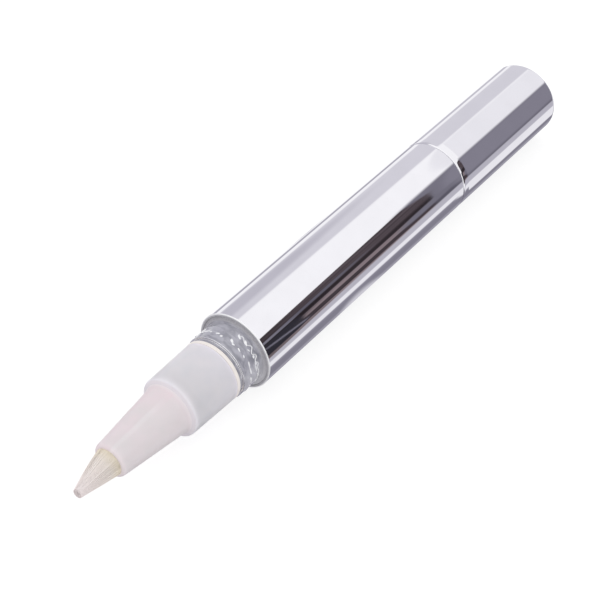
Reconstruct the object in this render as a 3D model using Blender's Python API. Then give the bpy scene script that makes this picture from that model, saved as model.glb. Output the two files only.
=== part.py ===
"""Twist-up tooth whitening pen, lying on its side with the brush towards -X and the knob towards +X.

Metres, +Z up. The pen rests on one flat of its many-sided barrel at Z = 0, and the middle of its
length is at X = 0. Stations along the pen are counted from the barrel's front rim, positive
towards the knob.
"""

import math

import bmesh
import bpy
from mathutils import Vector
from mathutils.geometry import delaunay_2d_cdt

# Counts
ROUND_SIDES = 40
INNER_SIDES = 24
THREAD_STEPS = 12
TUBE_SIDES = 16
RING_SECTION_SIDES = 6
END_ROUND_STEPS = 3
STRAND_COUNT = 300
STRAND_SIDES = 3
NECK_BEAD_COUNT = 2
BARB_COUNT = 5
RATCHET_TEETH = 12
PAWL_COUNT = 3
PAWL_STEPS = 4
KEY_COUNT = 2

# Clearances
SEAT_GAP = 0.00015
FIT_GAP = 0.0001
RUN_GAP = 0.00015
THREAD_GAP = 0.0002
OVERRUN = 0.0005
WELD_DISTANCE = 0.0000001

# Barrel and twist knob
BARREL_RADIUS = 0.0065
BARREL_WALL = 0.0004
BARREL_LENGTH = 0.0532
BARREL_EDGE = 0.00015
SEAM_GAP = 0.0003
KNOB_LENGTH = 0.0300
KNOB_SHELL_WALL = 0.0004
KNOB_END_ROUND = 0.0006

# Clear reservoir with its shoulder and neck
RESERVOIR_WALL = 0.0008
SHOULDER_THICKNESS = 0.0010
SHOULDER_CONE = 0.0012
SHOULDER_WIDTH = 0.00067
NECK_LENGTH = 0.0050
NECK_FILLET = 0.0003
NECK_BEAD_WIDTH = 0.0007
NECK_BEAD_HEIGHT = 0.00015
NECK_GROOVE_WIDTH = 0.0005
NECK_GROOVE_DEPTH = 0.00035
SPIGOT_WALL = 0.0009
BARB_PITCH = 0.00125
BARB_HEIGHT = 0.00022
LUG_LENGTH = 0.0010
LUG_HALF_ANGLE = math.radians(9)
LUG_HALF_ANGLE_GAP = math.radians(2)

# Gasket, collar and ferrule
GASKET_STEP = 0.00013
GASKET_THICKNESS = 0.00055
COLLAR_STEP = 0.00003
COLLAR_TAPER = 0.00022
COLLAR_LENGTH = 0.0093
COLLAR_WALL = 0.00035
COLLAR_LIP = 0.0009
COLLAR_LIP_ROUND = 0.0002
FERRULE_STEP = 0.00083
FERRULE_FRONT_RADIUS = 0.00286
FERRULE_LENGTH = 0.01285
FERRULE_WALL = 0.00066
FERRULE_FRONT_ROUND = 0.0006
FLANGE_THICKNESS = 0.0008

# Brush, its plug, the feed tube and the stopper in the neck
BRUSH_LENGTH = 0.0069
BRUSH_SET_BACK = 0.0004
BRUSH_TIP_RADIUS = 0.00077
BACKING_THICKNESS = 0.0012
BACKING_MARGIN = 0.00004
STRAND_RADIUS = 0.00008
STRAND_TIP_SHARE = 0.3
PLUG_LENGTH = 0.0020
FEED_TUBE_RADIUS = 0.00055
FEED_TUBE_BORE = 0.00025
FEED_TUBE_REACH = 0.0010
TUBE_SOCKET_DEPTH = 0.0035
INSERT_LENGTH = 0.0060
INSERT_ORIFICE = 0.0004
INSERT_MOUTH = 0.0016
INSERT_MOUTH_DEPTH = 0.0015
INSERT_CHAMFER = 0.0003

# Piston and its rings
PISTON_LENGTH = 0.0065
PISTON_CONE = 0.0010
RING_SECTION_RADIUS = 0.00042
RING_INSET = 0.0016
RING_SPACING = 0.0030

# Screw rod, nut and drive sleeve
LEAD = 0.0030
ROD_RADIUS = 0.0024
ROD_CORE_RADIUS = 0.0017
ROD_HALF_FLAT = 0.0015
ROD_END_GAP = 0.0006
THREAD_ROOT_WIDTH = 0.0016
THREAD_CREST_WIDTH = 0.0009
THREAD_EMBED = 0.0002
BUTTON_RADIUS = 0.0019
BUTTON_LENGTH = 0.0020
JOURNAL_RADIUS = 0.0013
SOCKET_LIP = 0.0008
NUT_FLANGE_THICKNESS = 0.0012
NUT_HUB_LENGTH = 0.0055
SLEEVE_WALL = 0.00045
KEY_HEIGHT = 0.00025
KEY_HALF_ANGLE = math.radians(9)
KEY_HALF_ANGLE_GAP = math.radians(3)

# Ratchet, whose ring and pawls share the radial room between the barrel's liner and the sleeve
RATCHET_LENGTH = 0.0032
RATCHET_RIM_SHARE = 0.28
TOOTH_DEPTH_SHARE = 0.17
PAWL_THICKNESS_SHARE = 0.12
PAWL_HUB_SHARE = 0.2
TOOTH_ANGLE_SHARES = (0, 0.32, 0.64, 0.96)
TOOTH_HEIGHT_SHARES = (0, 1 / 3, 2 / 3, 1)
PAWL_LENGTH = 0.0024
PAWL_REACH = math.radians(84)
PAWL_ROOT_ANGLE = math.radians(14)
PAWL_TIP_SHARE = 0.9

# Bush, snap ring, O-ring and knob core
BUSH_LENGTH = 0.0045
SNAP_RING_THICKNESS = 0.0006
SNAP_RING_BITE_SHARE = 0.4
SNAP_RING_SEAT = 0.00045
SNAP_GROOVE_DEPTH = 0.0005
SNAP_RING_HALF_ANGLE = math.radians(150)
KNOB_RING_SECTION_RADIUS = 0.00035
KNOB_RING_INSET = 0.0022
CORE_END_WALL = 0.0033
CORE_LAND = 0.0040
CORE_WAIST_SHARE = 0.28

SHARP_ANGLE = math.radians(35)
GOLDEN_ANGLE = math.pi * (3 - math.sqrt(5))

# Stations of the rear stack, from the seam forwards
KNOB_FRONT = BARREL_LENGTH + SEAM_GAP
KNOB_REAR = KNOB_FRONT + KNOB_LENGTH
BUSH_REAR = KNOB_FRONT - SEAT_GAP
BUSH_FRONT = BUSH_REAR - BUSH_LENGTH
RATCHET_REAR = BUSH_FRONT - SEAT_GAP
RATCHET_FRONT = RATCHET_REAR - RATCHET_LENGTH
NUT_REAR = RATCHET_FRONT - SEAT_GAP
NUT_FLANGE_FRONT = NUT_REAR - NUT_FLANGE_THICKNESS
NUT_FRONT = NUT_FLANGE_FRONT - NUT_HUB_LENGTH
RESERVOIR_REAR = NUT_FLANGE_FRONT - SEAT_GAP
PISTON_REAR = NUT_FRONT - SEAT_GAP
PISTON_FRONT = PISTON_REAR - PISTON_LENGTH
CORE_REAR = KNOB_REAR - KNOB_SHELL_WALL - SEAT_GAP
SLEEVE_FRONT = NUT_REAR + SEAT_GAP
SLEEVE_REAR = CORE_REAR - CORE_END_WALL
PAWL_REAR = SLEEVE_FRONT + PAWL_LENGTH
THREAD_FRONT = PISTON_REAR + RUN_GAP
ROD_REAR = SLEEVE_REAR - ROD_END_GAP
SNAP_RING_FRONT = BUSH_FRONT + SNAP_RING_SEAT

# Stations of the nose, from the neck forwards
GASKET_REAR = -NECK_LENGTH - SEAT_GAP
GASKET_FRONT = GASKET_REAR - GASKET_THICKNESS
COLLAR_REAR = GASKET_FRONT - SEAT_GAP
COLLAR_FRONT = COLLAR_REAR - COLLAR_LENGTH
FERRULE_FLANGE_FRONT = COLLAR_FRONT + COLLAR_LIP + SEAT_GAP
FERRULE_REAR = FERRULE_FLANGE_FRONT + FLANGE_THICKNESS
INSERT_FRONT = FERRULE_REAR + SEAT_GAP
INSERT_FLANGE_REAR = INSERT_FRONT + FLANGE_THICKNESS
INSERT_REAR = INSERT_FLANGE_REAR + INSERT_LENGTH
SPIGOT_FRONT = INSERT_FLANGE_REAR + SEAT_GAP
FERRULE_FRONT = COLLAR_FRONT - FERRULE_LENGTH
BRUSH_ROOT = FERRULE_FRONT + BRUSH_SET_BACK
BACKING_REAR = BRUSH_ROOT + BACKING_THICKNESS
BRUSH_TIP = FERRULE_FRONT - BRUSH_LENGTH
PLUG_FRONT = BACKING_REAR + SEAT_GAP
MIDDLE = (BRUSH_TIP + KNOB_REAR) / 2

# Radii that follow from the pieces around them
BARREL_BORE = BARREL_RADIUS - BARREL_WALL
LINER_RADIUS = BARREL_BORE - FIT_GAP
CHAMBER_RADIUS = LINER_RADIUS - RESERVOIR_WALL
PISTON_RADIUS = CHAMBER_RADIUS - RUN_GAP
NECK_RADIUS = LINER_RADIUS - SHOULDER_WIDTH
GASKET_RADIUS = NECK_RADIUS - GASKET_STEP
COLLAR_REAR_RADIUS = GASKET_RADIUS - COLLAR_STEP
COLLAR_FRONT_RADIUS = COLLAR_REAR_RADIUS - COLLAR_TAPER
FERRULE_REAR_RADIUS = COLLAR_FRONT_RADIUS - FERRULE_STEP
COLLAR_BORE = COLLAR_FRONT_RADIUS - COLLAR_WALL
SPIGOT_RADIUS = COLLAR_BORE - FIT_GAP
NECK_BORE = SPIGOT_RADIUS - SPIGOT_WALL
TUBE_HOLE = FEED_TUBE_RADIUS + FIT_GAP
SLEEVE_BORE = ROD_RADIUS + RUN_GAP
SLEEVE_RADIUS = SLEEVE_BORE + SLEEVE_WALL
KEY_RADIUS = SLEEVE_RADIUS + KEY_HEIGHT
SLEEVE_SOCKET = SLEEVE_RADIUS + FIT_GAP
KEYWAY_RADIUS = KEY_RADIUS + FIT_GAP
RATCHET_ROOM = LINER_RADIUS - SLEEVE_SOCKET
TOOTH_DEPTH = RATCHET_ROOM * TOOTH_DEPTH_SHARE
TOOTH_TIP_RADIUS = LINER_RADIUS - RATCHET_ROOM * RATCHET_RIM_SHARE - TOOTH_DEPTH
PAWL_RADIUS = TOOTH_TIP_RADIUS - RUN_GAP - FIT_GAP
PAWL_THICKNESS = RATCHET_ROOM * PAWL_THICKNESS_SHARE
PAWL_HUB_WALL = RATCHET_ROOM * PAWL_HUB_SHARE
PAWL_HUB_RADIUS = SLEEVE_SOCKET + PAWL_HUB_WALL
KNOB_SPIGOT_RADIUS = TOOTH_TIP_RADIUS - FIT_GAP
BUSH_BORE = KNOB_SPIGOT_RADIUS + RUN_GAP
BUSH_WALL = LINER_RADIUS - BUSH_BORE
SNAP_RING_RADIUS = BUSH_BORE + BUSH_WALL * SNAP_RING_BITE_SHARE
AXIS_HEIGHT = BARREL_RADIUS * math.cos(math.pi / ROUND_SIDES)


def clear_scene():
    for item in list(bpy.data.objects):
        bpy.data.objects.remove(item)


def make_material(name, colour, roughness, metallic=0, transmission=0):
    material = bpy.data.materials.new(name)
    material.use_nodes = True
    shader = material.node_tree.nodes["Principled BSDF"]
    shader.inputs["Base Color"].default_value = (*colour, 1)
    shader.inputs["Roughness"].default_value = roughness
    shader.inputs["Metallic"].default_value = metallic
    shader.inputs["Transmission Weight"].default_value = transmission
    material.diffuse_color = (*colour, 1)
    return material


def make_empty(name, parent=None, location=(0, 0, 0)):
    empty = bpy.data.objects.new(name, None)
    empty.location = location
    empty.parent = parent
    bpy.context.scene.collection.objects.link(empty)
    return empty


def around(station, radius, angle):
    """A point about the pen's axis, its angle counted from straight down, right-handed about +X."""
    return Vector((station, radius * math.sin(angle), -radius * math.cos(angle)))


def finish_object(name, bm, material, parent):
    bmesh.ops.recalc_face_normals(bm, faces=bm.faces)
    mesh = bpy.data.meshes.new(name)
    bm.to_mesh(mesh)
    bm.free()
    mesh.materials.append(material)
    mesh.shade_smooth()
    mesh.set_sharp_from_angle(angle=SHARP_ANGLE)
    item = bpy.data.objects.new(name, mesh)
    item.parent = parent
    bpy.context.scene.collection.objects.link(item)
    return item


def turned(name, outline, material, parent, sides=INNER_SIDES):
    """A closed outline of (station, radius) points spun about the axis, with a flat side down."""
    bm = bmesh.new()
    start = math.pi / sides
    corners = [bm.verts.new(around(station, radius, start)) for station, radius in outline]
    edges = []
    for index, corner in enumerate(corners):
        follower = (index + 1) % len(corners)
        if outline[index][1] > 0 or outline[follower][1] > 0:
            edges.append(bm.edges.new((corner, corners[follower])))
    bmesh.ops.spin(
        bm,
        geom=corners + edges,
        cent=(0, 0, 0),
        axis=(1, 0, 0),
        angle=2 * math.pi,
        steps=sides,
        use_merge=True,
    )
    bmesh.ops.remove_doubles(bm, verts=bm.verts, dist=WELD_DISTANCE)
    return finish_object(name, bm, material, parent)


def add_prism(bm, outline, front, rear):
    """A closed solid between two stations, from an outline of (radius, angle) points."""
    near = [bm.verts.new(around(front, radius, angle)) for radius, angle in outline]
    far = [bm.verts.new(around(rear, radius, angle)) for radius, angle in outline]
    bm.faces.new(near)
    bm.faces.new(far)
    for index in range(len(outline)):
        follower = (index + 1) % len(outline)
        bm.faces.new((near[index], near[follower], far[follower], far[index]))


def sector_outline(inner, outer, centre, half_angle, steps=1):
    """The outline of a piece of a ring."""
    angles = [centre - half_angle + 2 * half_angle * step / steps for step in range(steps + 1)]
    return [(outer, angle) for angle in angles] + [(inner, angle) for angle in reversed(angles)]


def sectors(name, count, inner, outer, half_angle, front, rear, material, parent):
    """Equal pieces of a ring, evenly spaced, the first one pointing to +Y."""
    bm = bmesh.new()
    for index in range(count):
        centre = math.pi / 2 + 2 * math.pi * index / count
        add_prism(bm, sector_outline(inner, outer, centre, half_angle), front, rear)
    return finish_object(name, bm, material, parent)


def combine(target, tool, operation, solver="EXACT"):
    """Joins a tool to its target or cuts it away, and hides the tool from renders."""
    tool.hide_render = True
    tool.display_type = "WIRE"
    modifier = target.modifiers.new(tool.name, "BOOLEAN")
    modifier.operation = operation
    modifier.solver = solver
    modifier.object = tool


def ring_outline(centre, middle_radius, section_radius):
    """The round section of a soft ring."""
    step = 2 * math.pi / RING_SECTION_SIDES
    return [
        (
            centre + section_radius * math.cos(index * step),
            middle_radius + section_radius * math.sin(index * step),
        )
        for index in range(RING_SECTION_SIDES)
    ]


def end_round(station, radius, size):
    """A rounded outer corner from the side of a piece to its rear face."""
    points = []
    for step in range(END_ROUND_STEPS + 1):
        angle = math.pi / 2 * step / END_ROUND_STEPS
        along = station - size + size * math.sin(angle)
        points.append((along, radius - size + size * math.cos(angle)))
    return points


def helical_ridge(name, origin, first, last, inner, outer, widths, material, parent):
    """A right-hand thread between two stations: a four-sided section swept along a helix that
    passes the origin straight down. The widths are those at the inner and outer radius."""
    bm = bmesh.new()
    section = (
        (-widths[0] / 2, inner),
        (-widths[1] / 2, outer),
        (widths[1] / 2, outer),
        (widths[0] / 2, inner),
    )
    rings = []
    half = max(widths) / 2
    first_step = math.ceil((first + half - origin) / LEAD * THREAD_STEPS)
    last_step = math.floor((last - half - origin) / LEAD * THREAD_STEPS)
    for index in range(first_step, last_step + 1):
        angle = (index + 1 / 2) * 2 * math.pi / THREAD_STEPS
        station = origin + LEAD * index / THREAD_STEPS
        rings.append(
            [bm.verts.new(around(station + along, radius, angle)) for along, radius in section]
        )
    for ring, following in zip(rings, rings[1:]):
        for index in range(len(section)):
            after = (index + 1) % len(section)
            bm.faces.new((ring[index], ring[after], following[after], following[index]))
    bm.faces.new(rings[0])
    bm.faces.new(rings[-1])
    bmesh.ops.triangulate(bm, faces=bm.faces)
    return finish_object(name, bm, material, parent)


def thread_width(radius):
    """The rod's thread is this wide at a radius, and wider towards its root."""
    height_share = (radius - ROD_CORE_RADIUS) / (ROD_RADIUS - ROD_CORE_RADIUS)
    return THREAD_ROOT_WIDTH + (THREAD_CREST_WIDTH - THREAD_ROOT_WIDTH) * height_share


def ferrule_bore(station):
    """The radius of the ferrule's tapered hole at a station."""
    share = (station - FERRULE_FRONT) / FERRULE_LENGTH
    outer = FERRULE_FRONT_RADIUS + (FERRULE_REAR_RADIUS - FERRULE_FRONT_RADIUS) * min(share, 1)
    return outer - FERRULE_WALL


def build_barrel(metal, pen):
    outline = [
        (0, BARREL_BORE),
        (0, BARREL_RADIUS - BARREL_EDGE),
        (BARREL_EDGE, BARREL_RADIUS),
        (BARREL_LENGTH - BARREL_EDGE, BARREL_RADIUS),
        (BARREL_LENGTH, BARREL_RADIUS - BARREL_EDGE),
        (BARREL_LENGTH, BARREL_BORE),
    ]
    turned("barrel_sleeve", outline, metal, pen, ROUND_SIDES)


def neck_outline():
    """The outside of the neck, from the shoulder forwards to the gasket's seat."""
    points = [(0, NECK_RADIUS + NECK_FILLET), (-NECK_FILLET, NECK_RADIUS)]
    plain = NECK_LENGTH - NECK_GROOVE_WIDTH - NECK_FILLET
    for index in range(NECK_BEAD_COUNT):
        centre = -NECK_FILLET - plain * (index + 1) / (NECK_BEAD_COUNT + 1)
        points.append((centre + NECK_BEAD_WIDTH / 2, NECK_RADIUS))
        points.append((centre, NECK_RADIUS + NECK_BEAD_HEIGHT))
        points.append((centre - NECK_BEAD_WIDTH / 2, NECK_RADIUS))
    groove_rear = -NECK_LENGTH + NECK_GROOVE_WIDTH
    points.append((groove_rear, NECK_RADIUS))
    points.append((groove_rear, NECK_RADIUS - NECK_GROOVE_DEPTH))
    points.append((-NECK_LENGTH, NECK_RADIUS - NECK_GROOVE_DEPTH))
    return points


def spigot_outline():
    """The barbed spigot inside the collar, from the gasket's seat forwards."""
    root = SPIGOT_RADIUS - BARB_HEIGHT
    points = [(-NECK_LENGTH, SPIGOT_RADIUS), (SPIGOT_FRONT + BARB_COUNT * BARB_PITCH, SPIGOT_RADIUS)]
    for index in range(BARB_COUNT, 0, -1):
        station = SPIGOT_FRONT + index * BARB_PITCH
        points.append((station, root))
        points.append((station - BARB_PITCH / 2, SPIGOT_RADIUS))
    points.append((SPIGOT_FRONT, root))
    return points


def build_reservoir(clear, pen):
    outline = [(RESERVOIR_REAR, CHAMBER_RADIUS), (RESERVOIR_REAR, LINER_RADIUS), (0, LINER_RADIUS)]
    outline += neck_outline()
    outline += spigot_outline()
    outline += [
        (SPIGOT_FRONT, NECK_BORE),
        (SHOULDER_THICKNESS, NECK_BORE),
        (SHOULDER_THICKNESS + SHOULDER_CONE, CHAMBER_RADIUS),
    ]
    reservoir = turned("reservoir_tube", outline, clear, pen, ROUND_SIDES)
    notches = sectors(
        "reservoir_notches",
        KEY_COUNT,
        CHAMBER_RADIUS - OVERRUN,
        LINER_RADIUS + OVERRUN,
        LUG_HALF_ANGLE + LUG_HALF_ANGLE_GAP,
        NUT_FLANGE_FRONT - LUG_LENGTH - SEAT_GAP,
        RESERVOIR_REAR + OVERRUN,
        clear,
        pen,
    )
    combine(reservoir, notches, "DIFFERENCE")


def build_gasket(cream, pen):
    outline = [
        (GASKET_FRONT, SPIGOT_RADIUS + FIT_GAP),
        (GASKET_FRONT, GASKET_RADIUS),
        (GASKET_REAR, GASKET_RADIUS),
        (GASKET_REAR, SPIGOT_RADIUS + FIT_GAP),
    ]
    turned("neck_gasket", outline, cream, pen, ROUND_SIDES)


def build_collar(frosted, pen):
    lip_hole = FERRULE_REAR_RADIUS + FIT_GAP
    outline = [
        (COLLAR_REAR, COLLAR_BORE),
        (COLLAR_REAR, COLLAR_REAR_RADIUS),
    ]
    for along, radius in end_round(0, COLLAR_FRONT_RADIUS, COLLAR_LIP_ROUND):
        outline.append((COLLAR_FRONT - along, radius))
    outline += [
        (COLLAR_FRONT, lip_hole),
        (COLLAR_FRONT + COLLAR_LIP, lip_hole),
        (COLLAR_FRONT + COLLAR_LIP, COLLAR_BORE),
    ]
    turned("nozzle_collar", outline, frosted, pen, ROUND_SIDES)


def build_ferrule(translucent, pen):
    flange_radius = COLLAR_BORE - FIT_GAP
    outline = [
        (FERRULE_REAR, ferrule_bore(FERRULE_REAR)),
        (FERRULE_REAR, flange_radius),
        (FERRULE_FLANGE_FRONT, flange_radius),
        (FERRULE_FLANGE_FRONT, FERRULE_REAR_RADIUS),
        (COLLAR_FRONT, FERRULE_REAR_RADIUS),
    ]
    for along, radius in end_round(0, FERRULE_FRONT_RADIUS, FERRULE_FRONT_ROUND):
        outline.append((FERRULE_FRONT - along, radius))
    outline += [
        (FERRULE_FRONT, ferrule_bore(FERRULE_FRONT)),
        (COLLAR_FRONT, ferrule_bore(COLLAR_FRONT)),
    ]
    turned("ferrule", outline, translucent, pen, ROUND_SIDES)


def strand_pattern(hole, margin, size):
    """A flat pattern in a circle of radius 1: all points, the triangles between the strands and
    each strand's foot with its centre. The strands stand on a sunflower spiral round the hole."""
    edge = [(math.cos(a), math.sin(a)) for a in circle_angles(INNER_SIDES)]
    rim = [(hole * math.cos(a), hole * math.sin(a)) for a in circle_angles(INNER_SIDES)]
    inner = hole + size + margin
    outer = math.cos(math.pi / INNER_SIDES) - size - margin
    points = edge + rim
    feet = []
    centres = []
    for index in range(STRAND_COUNT):
        area_share = (index + 1 / 2) / STRAND_COUNT
        distance = math.sqrt(inner**2 + area_share * (outer**2 - inner**2))
        turn = index * GOLDEN_ANGLE
        centre = Vector((distance * math.cos(turn), distance * math.sin(turn)))
        feet.append([len(points) + corner for corner in range(STRAND_SIDES)])
        centres.append(centre)
        for a in circle_angles(STRAND_SIDES):
            points.append(centre + size * Vector((math.cos(turn + a), math.sin(turn + a))))
    corners = [Vector(point) for point in points]
    result = delaunay_2d_cdt(corners, [], feet, 0, size / STRAND_COUNT)
    gaps = []
    for face, sources in zip(result[2], result[5]):
        middle = sum((result[0][corner] for corner in face), Vector((0, 0))) / len(face)
        if not sources and middle.length > hole * math.cos(math.pi / INNER_SIDES):
            gaps.append([result[3][corner][0] for corner in face])
    return corners, gaps, feet, centres


def circle_angles(count):
    return [2 * math.pi * index / count for index in range(count)]


def build_brush(filament, pen):
    """The tuft: straight tapered strands fused to a slice of their root, round the feed tube."""
    bm = bmesh.new()
    front_radius = ferrule_bore(BRUSH_ROOT) - FIT_GAP
    rear_radius = ferrule_bore(BACKING_REAR) - FIT_GAP
    hole_share = TUBE_HOLE / front_radius
    corners, gaps, feet, centres = strand_pattern(
        hole_share, BACKING_MARGIN / front_radius, STRAND_RADIUS / front_radius
    )

    def place(point, station, scale):
        return bm.verts.new((station, point.x * scale, point.y * scale))

    front = [place(point, BRUSH_ROOT, front_radius) for point in corners]
    for gap in gaps:
        bm.faces.new([front[corner] for corner in gap])
    edge = front[:INNER_SIDES]
    rim = front[INNER_SIDES : 2 * INNER_SIDES]
    rear_edge = [place(point, BACKING_REAR, rear_radius) for point in corners[:INNER_SIDES]]
    rim_points = corners[INNER_SIDES : 2 * INNER_SIDES]
    rear_rim = [place(point, BACKING_REAR, front_radius) for point in rim_points]
    for near, far in ((edge, rear_edge), (rear_edge, rear_rim), (rear_rim, rim)):
        for index in range(INNER_SIDES):
            after = (index + 1) % INNER_SIDES
            bm.faces.new((near[index], near[after], far[after], far[index]))
    for foot, centre in zip(feet, centres):
        tip = []
        for corner in foot:
            offset = (corners[corner] - centre) * STRAND_TIP_SHARE * front_radius
            point = centre * BRUSH_TIP_RADIUS + offset
            tip.append(place(point, BRUSH_TIP, 1))
        for index in range(STRAND_SIDES):
            after = (index + 1) % STRAND_SIDES
            bm.faces.new((front[foot[index]], front[foot[after]], tip[after], tip[index]))
        bm.faces.new(tip)
    finish_object("brush", bm, filament, pen)


def build_feed_parts(plastic, tube_plastic, pen):
    plug_rear = PLUG_FRONT + PLUG_LENGTH
    plug = [
        (PLUG_FRONT, TUBE_HOLE),
        (PLUG_FRONT, ferrule_bore(PLUG_FRONT) - FIT_GAP),
        (plug_rear, ferrule_bore(plug_rear) - FIT_GAP),
        (plug_rear, TUBE_HOLE),
    ]
    turned("brush_plug", plug, plastic, pen)

    socket_floor = INSERT_FRONT + TUBE_SOCKET_DEPTH
    tube_front = BRUSH_ROOT - FEED_TUBE_REACH
    tube_rear = socket_floor - SEAT_GAP
    tube = [
        (tube_front, FEED_TUBE_BORE),
        (tube_front, FEED_TUBE_RADIUS),
        (tube_rear, FEED_TUBE_RADIUS),
        (tube_rear, FEED_TUBE_BORE),
    ]
    turned("feed_tube", tube, tube_plastic, pen, TUBE_SIDES)

    plug_radius = NECK_BORE - FIT_GAP
    insert = [
        (INSERT_FRONT, TUBE_HOLE),
        (INSERT_FRONT, COLLAR_BORE - FIT_GAP),
        (INSERT_FLANGE_REAR, COLLAR_BORE - FIT_GAP),
        (INSERT_FLANGE_REAR, plug_radius),
        (INSERT_REAR - INSERT_CHAMFER, plug_radius),
        (INSERT_REAR, plug_radius - INSERT_CHAMFER),
        (INSERT_REAR, INSERT_MOUTH),
        (INSERT_REAR - INSERT_MOUTH_DEPTH, INSERT_ORIFICE),
        (socket_floor, INSERT_ORIFICE),
        (socket_floor, TUBE_HOLE),
    ]
    turned("nozzle_insert", insert, plastic, pen)


def build_piston(soft_plastic, rubber, slider):
    socket_floor = PISTON_REAR - SOCKET_LIP - BUTTON_LENGTH - 2 * RUN_GAP
    ring_middle = PISTON_RADIUS - RING_SECTION_RADIUS + FIT_GAP
    groove_floor = ring_middle - RING_SECTION_RADIUS - FIT_GAP
    half_groove = RING_SECTION_RADIUS + FIT_GAP
    front_ring = PISTON_FRONT + RING_INSET
    rear_ring = front_ring + RING_SPACING
    outline = [(PISTON_FRONT, 0), (PISTON_FRONT + PISTON_CONE, PISTON_RADIUS)]
    for centre in (front_ring, rear_ring):
        outline += [
            (centre - half_groove, PISTON_RADIUS),
            (centre - half_groove, groove_floor),
            (centre + half_groove, groove_floor),
            (centre + half_groove, PISTON_RADIUS),
        ]
    outline += [
        (PISTON_REAR, PISTON_RADIUS),
        (PISTON_REAR, JOURNAL_RADIUS + RUN_GAP),
        (PISTON_REAR - SOCKET_LIP, JOURNAL_RADIUS + RUN_GAP),
        (PISTON_REAR - SOCKET_LIP, BUTTON_RADIUS + RUN_GAP),
        (socket_floor, BUTTON_RADIUS + RUN_GAP),
        (socket_floor, 0),
    ]
    turned("piston", outline, soft_plastic, slider)
    rings = (("piston_ring_front", front_ring), ("piston_ring_rear", rear_ring))
    for name, centre in rings:
        turned(name, ring_outline(centre, ring_middle, RING_SECTION_RADIUS), rubber, slider)


def build_rod(rod_plastic, slider):
    """The screw rod: a button and journal held in the piston, then a thread with two flats."""
    button_rear = PISTON_REAR - SOCKET_LIP - RUN_GAP
    outline = [
        (button_rear - BUTTON_LENGTH, 0),
        (button_rear - BUTTON_LENGTH, BUTTON_RADIUS),
        (button_rear, BUTTON_RADIUS),
        (button_rear, JOURNAL_RADIUS),
        (THREAD_FRONT, JOURNAL_RADIUS),
        (THREAD_FRONT, ROD_CORE_RADIUS),
        (ROD_REAR, ROD_CORE_RADIUS),
        (ROD_REAR, 0),
    ]
    rod = turned("screw_rod", outline, rod_plastic, slider, THREAD_STEPS)
    ridge = helical_ridge(
        "rod_thread",
        THREAD_FRONT,
        THREAD_FRONT + FIT_GAP,
        ROD_REAR - FIT_GAP,
        ROD_CORE_RADIUS - THREAD_EMBED,
        ROD_RADIUS,
        (thread_width(ROD_CORE_RADIUS - THREAD_EMBED), THREAD_CREST_WIDTH),
        rod_plastic,
        slider,
    )
    combine(rod, ridge, "UNION")
    bm = bmesh.new()
    beyond = ROD_RADIUS + OVERRUN
    corners = (
        (-beyond, ROD_HALF_FLAT),
        (beyond, ROD_HALF_FLAT),
        (beyond, beyond),
        (-beyond, beyond),
    )
    for side in (0, math.pi):
        outline = [(math.hypot(*corner), side + math.atan2(*corner)) for corner in corners]
        add_prism(bm, outline, THREAD_FRONT - RUN_GAP / 2, ROD_REAR + OVERRUN)
    flats = finish_object("rod_flats", bm, rod_plastic, slider)
    combine(rod, flats, "DIFFERENCE", "MANIFOLD")


def build_nut(rod_plastic, pen):
    """The nut's hub sits in the reservoir, and its lugs stop it turning there."""
    bore = ROD_RADIUS + RUN_GAP
    outline = [
        (NUT_FRONT, bore),
        (NUT_FRONT, CHAMBER_RADIUS - FIT_GAP),
        (NUT_FLANGE_FRONT, CHAMBER_RADIUS - FIT_GAP),
        (NUT_FLANGE_FRONT, LINER_RADIUS),
        (NUT_REAR, LINER_RADIUS),
        (NUT_REAR, bore),
    ]
    nut = turned("drive_nut", outline, rod_plastic, pen)
    inner = ROD_CORE_RADIUS + THREAD_GAP
    outer = bore + THREAD_EMBED
    ridge = helical_ridge(
        "nut_thread",
        THREAD_FRONT + LEAD / 2,
        NUT_FRONT + FIT_GAP,
        NUT_REAR - FIT_GAP,
        inner,
        outer,
        [LEAD - thread_width(radius) - 2 * THREAD_GAP for radius in (inner, outer)],
        rod_plastic,
        pen,
    )
    combine(nut, ridge, "UNION")
    lugs = sectors(
        "nut_lugs",
        KEY_COUNT,
        CHAMBER_RADIUS + FIT_GAP,
        LINER_RADIUS - FIT_GAP,
        LUG_HALF_ANGLE,
        NUT_FLANGE_FRONT - LUG_LENGTH,
        NUT_REAR + LUG_LENGTH,
        rod_plastic,
        pen,
    )
    combine(nut, lugs, "UNION")


def build_ratchet_ring(rod_plastic, pen):
    """The fixed ring: each saw tooth climbs along +angle and then drops back to its tip."""
    bm = bmesh.new()
    pitch = 2 * math.pi / RATCHET_TEETH
    ends = []
    for station in (RATCHET_FRONT, RATCHET_REAR):
        outside = []
        inside = []
        for tooth in range(RATCHET_TEETH):
            for angle_share, height_share in zip(TOOTH_ANGLE_SHARES, TOOTH_HEIGHT_SHARES):
                angle = (tooth + angle_share) * pitch
                radius = TOOTH_TIP_RADIUS + height_share * TOOTH_DEPTH
                outside.append(bm.verts.new(around(station, LINER_RADIUS, angle)))
                inside.append(bm.verts.new(around(station, radius, angle)))
        ends.append((outside, inside))
    (front_out, front_in), (rear_out, rear_in) = ends
    loops = (front_out, front_in, rear_in, rear_out)
    for first, second in zip(loops, loops[1:] + loops[:1]):
        for index in range(len(first)):
            after = (index + 1) % len(first)
            bm.faces.new((first[index], first[after], second[after], second[index]))
    ring = finish_object("ratchet_ring", bm, rod_plastic, pen)
    notches = sectors(
        "ratchet_notches",
        KEY_COUNT,
        CHAMBER_RADIUS - FIT_GAP,
        LINER_RADIUS + OVERRUN,
        LUG_HALF_ANGLE + LUG_HALF_ANGLE_GAP,
        RATCHET_FRONT - OVERRUN,
        NUT_REAR + LUG_LENGTH + SEAT_GAP,
        rod_plastic,
        pen,
    )
    combine(ring, notches, "DIFFERENCE")


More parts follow.
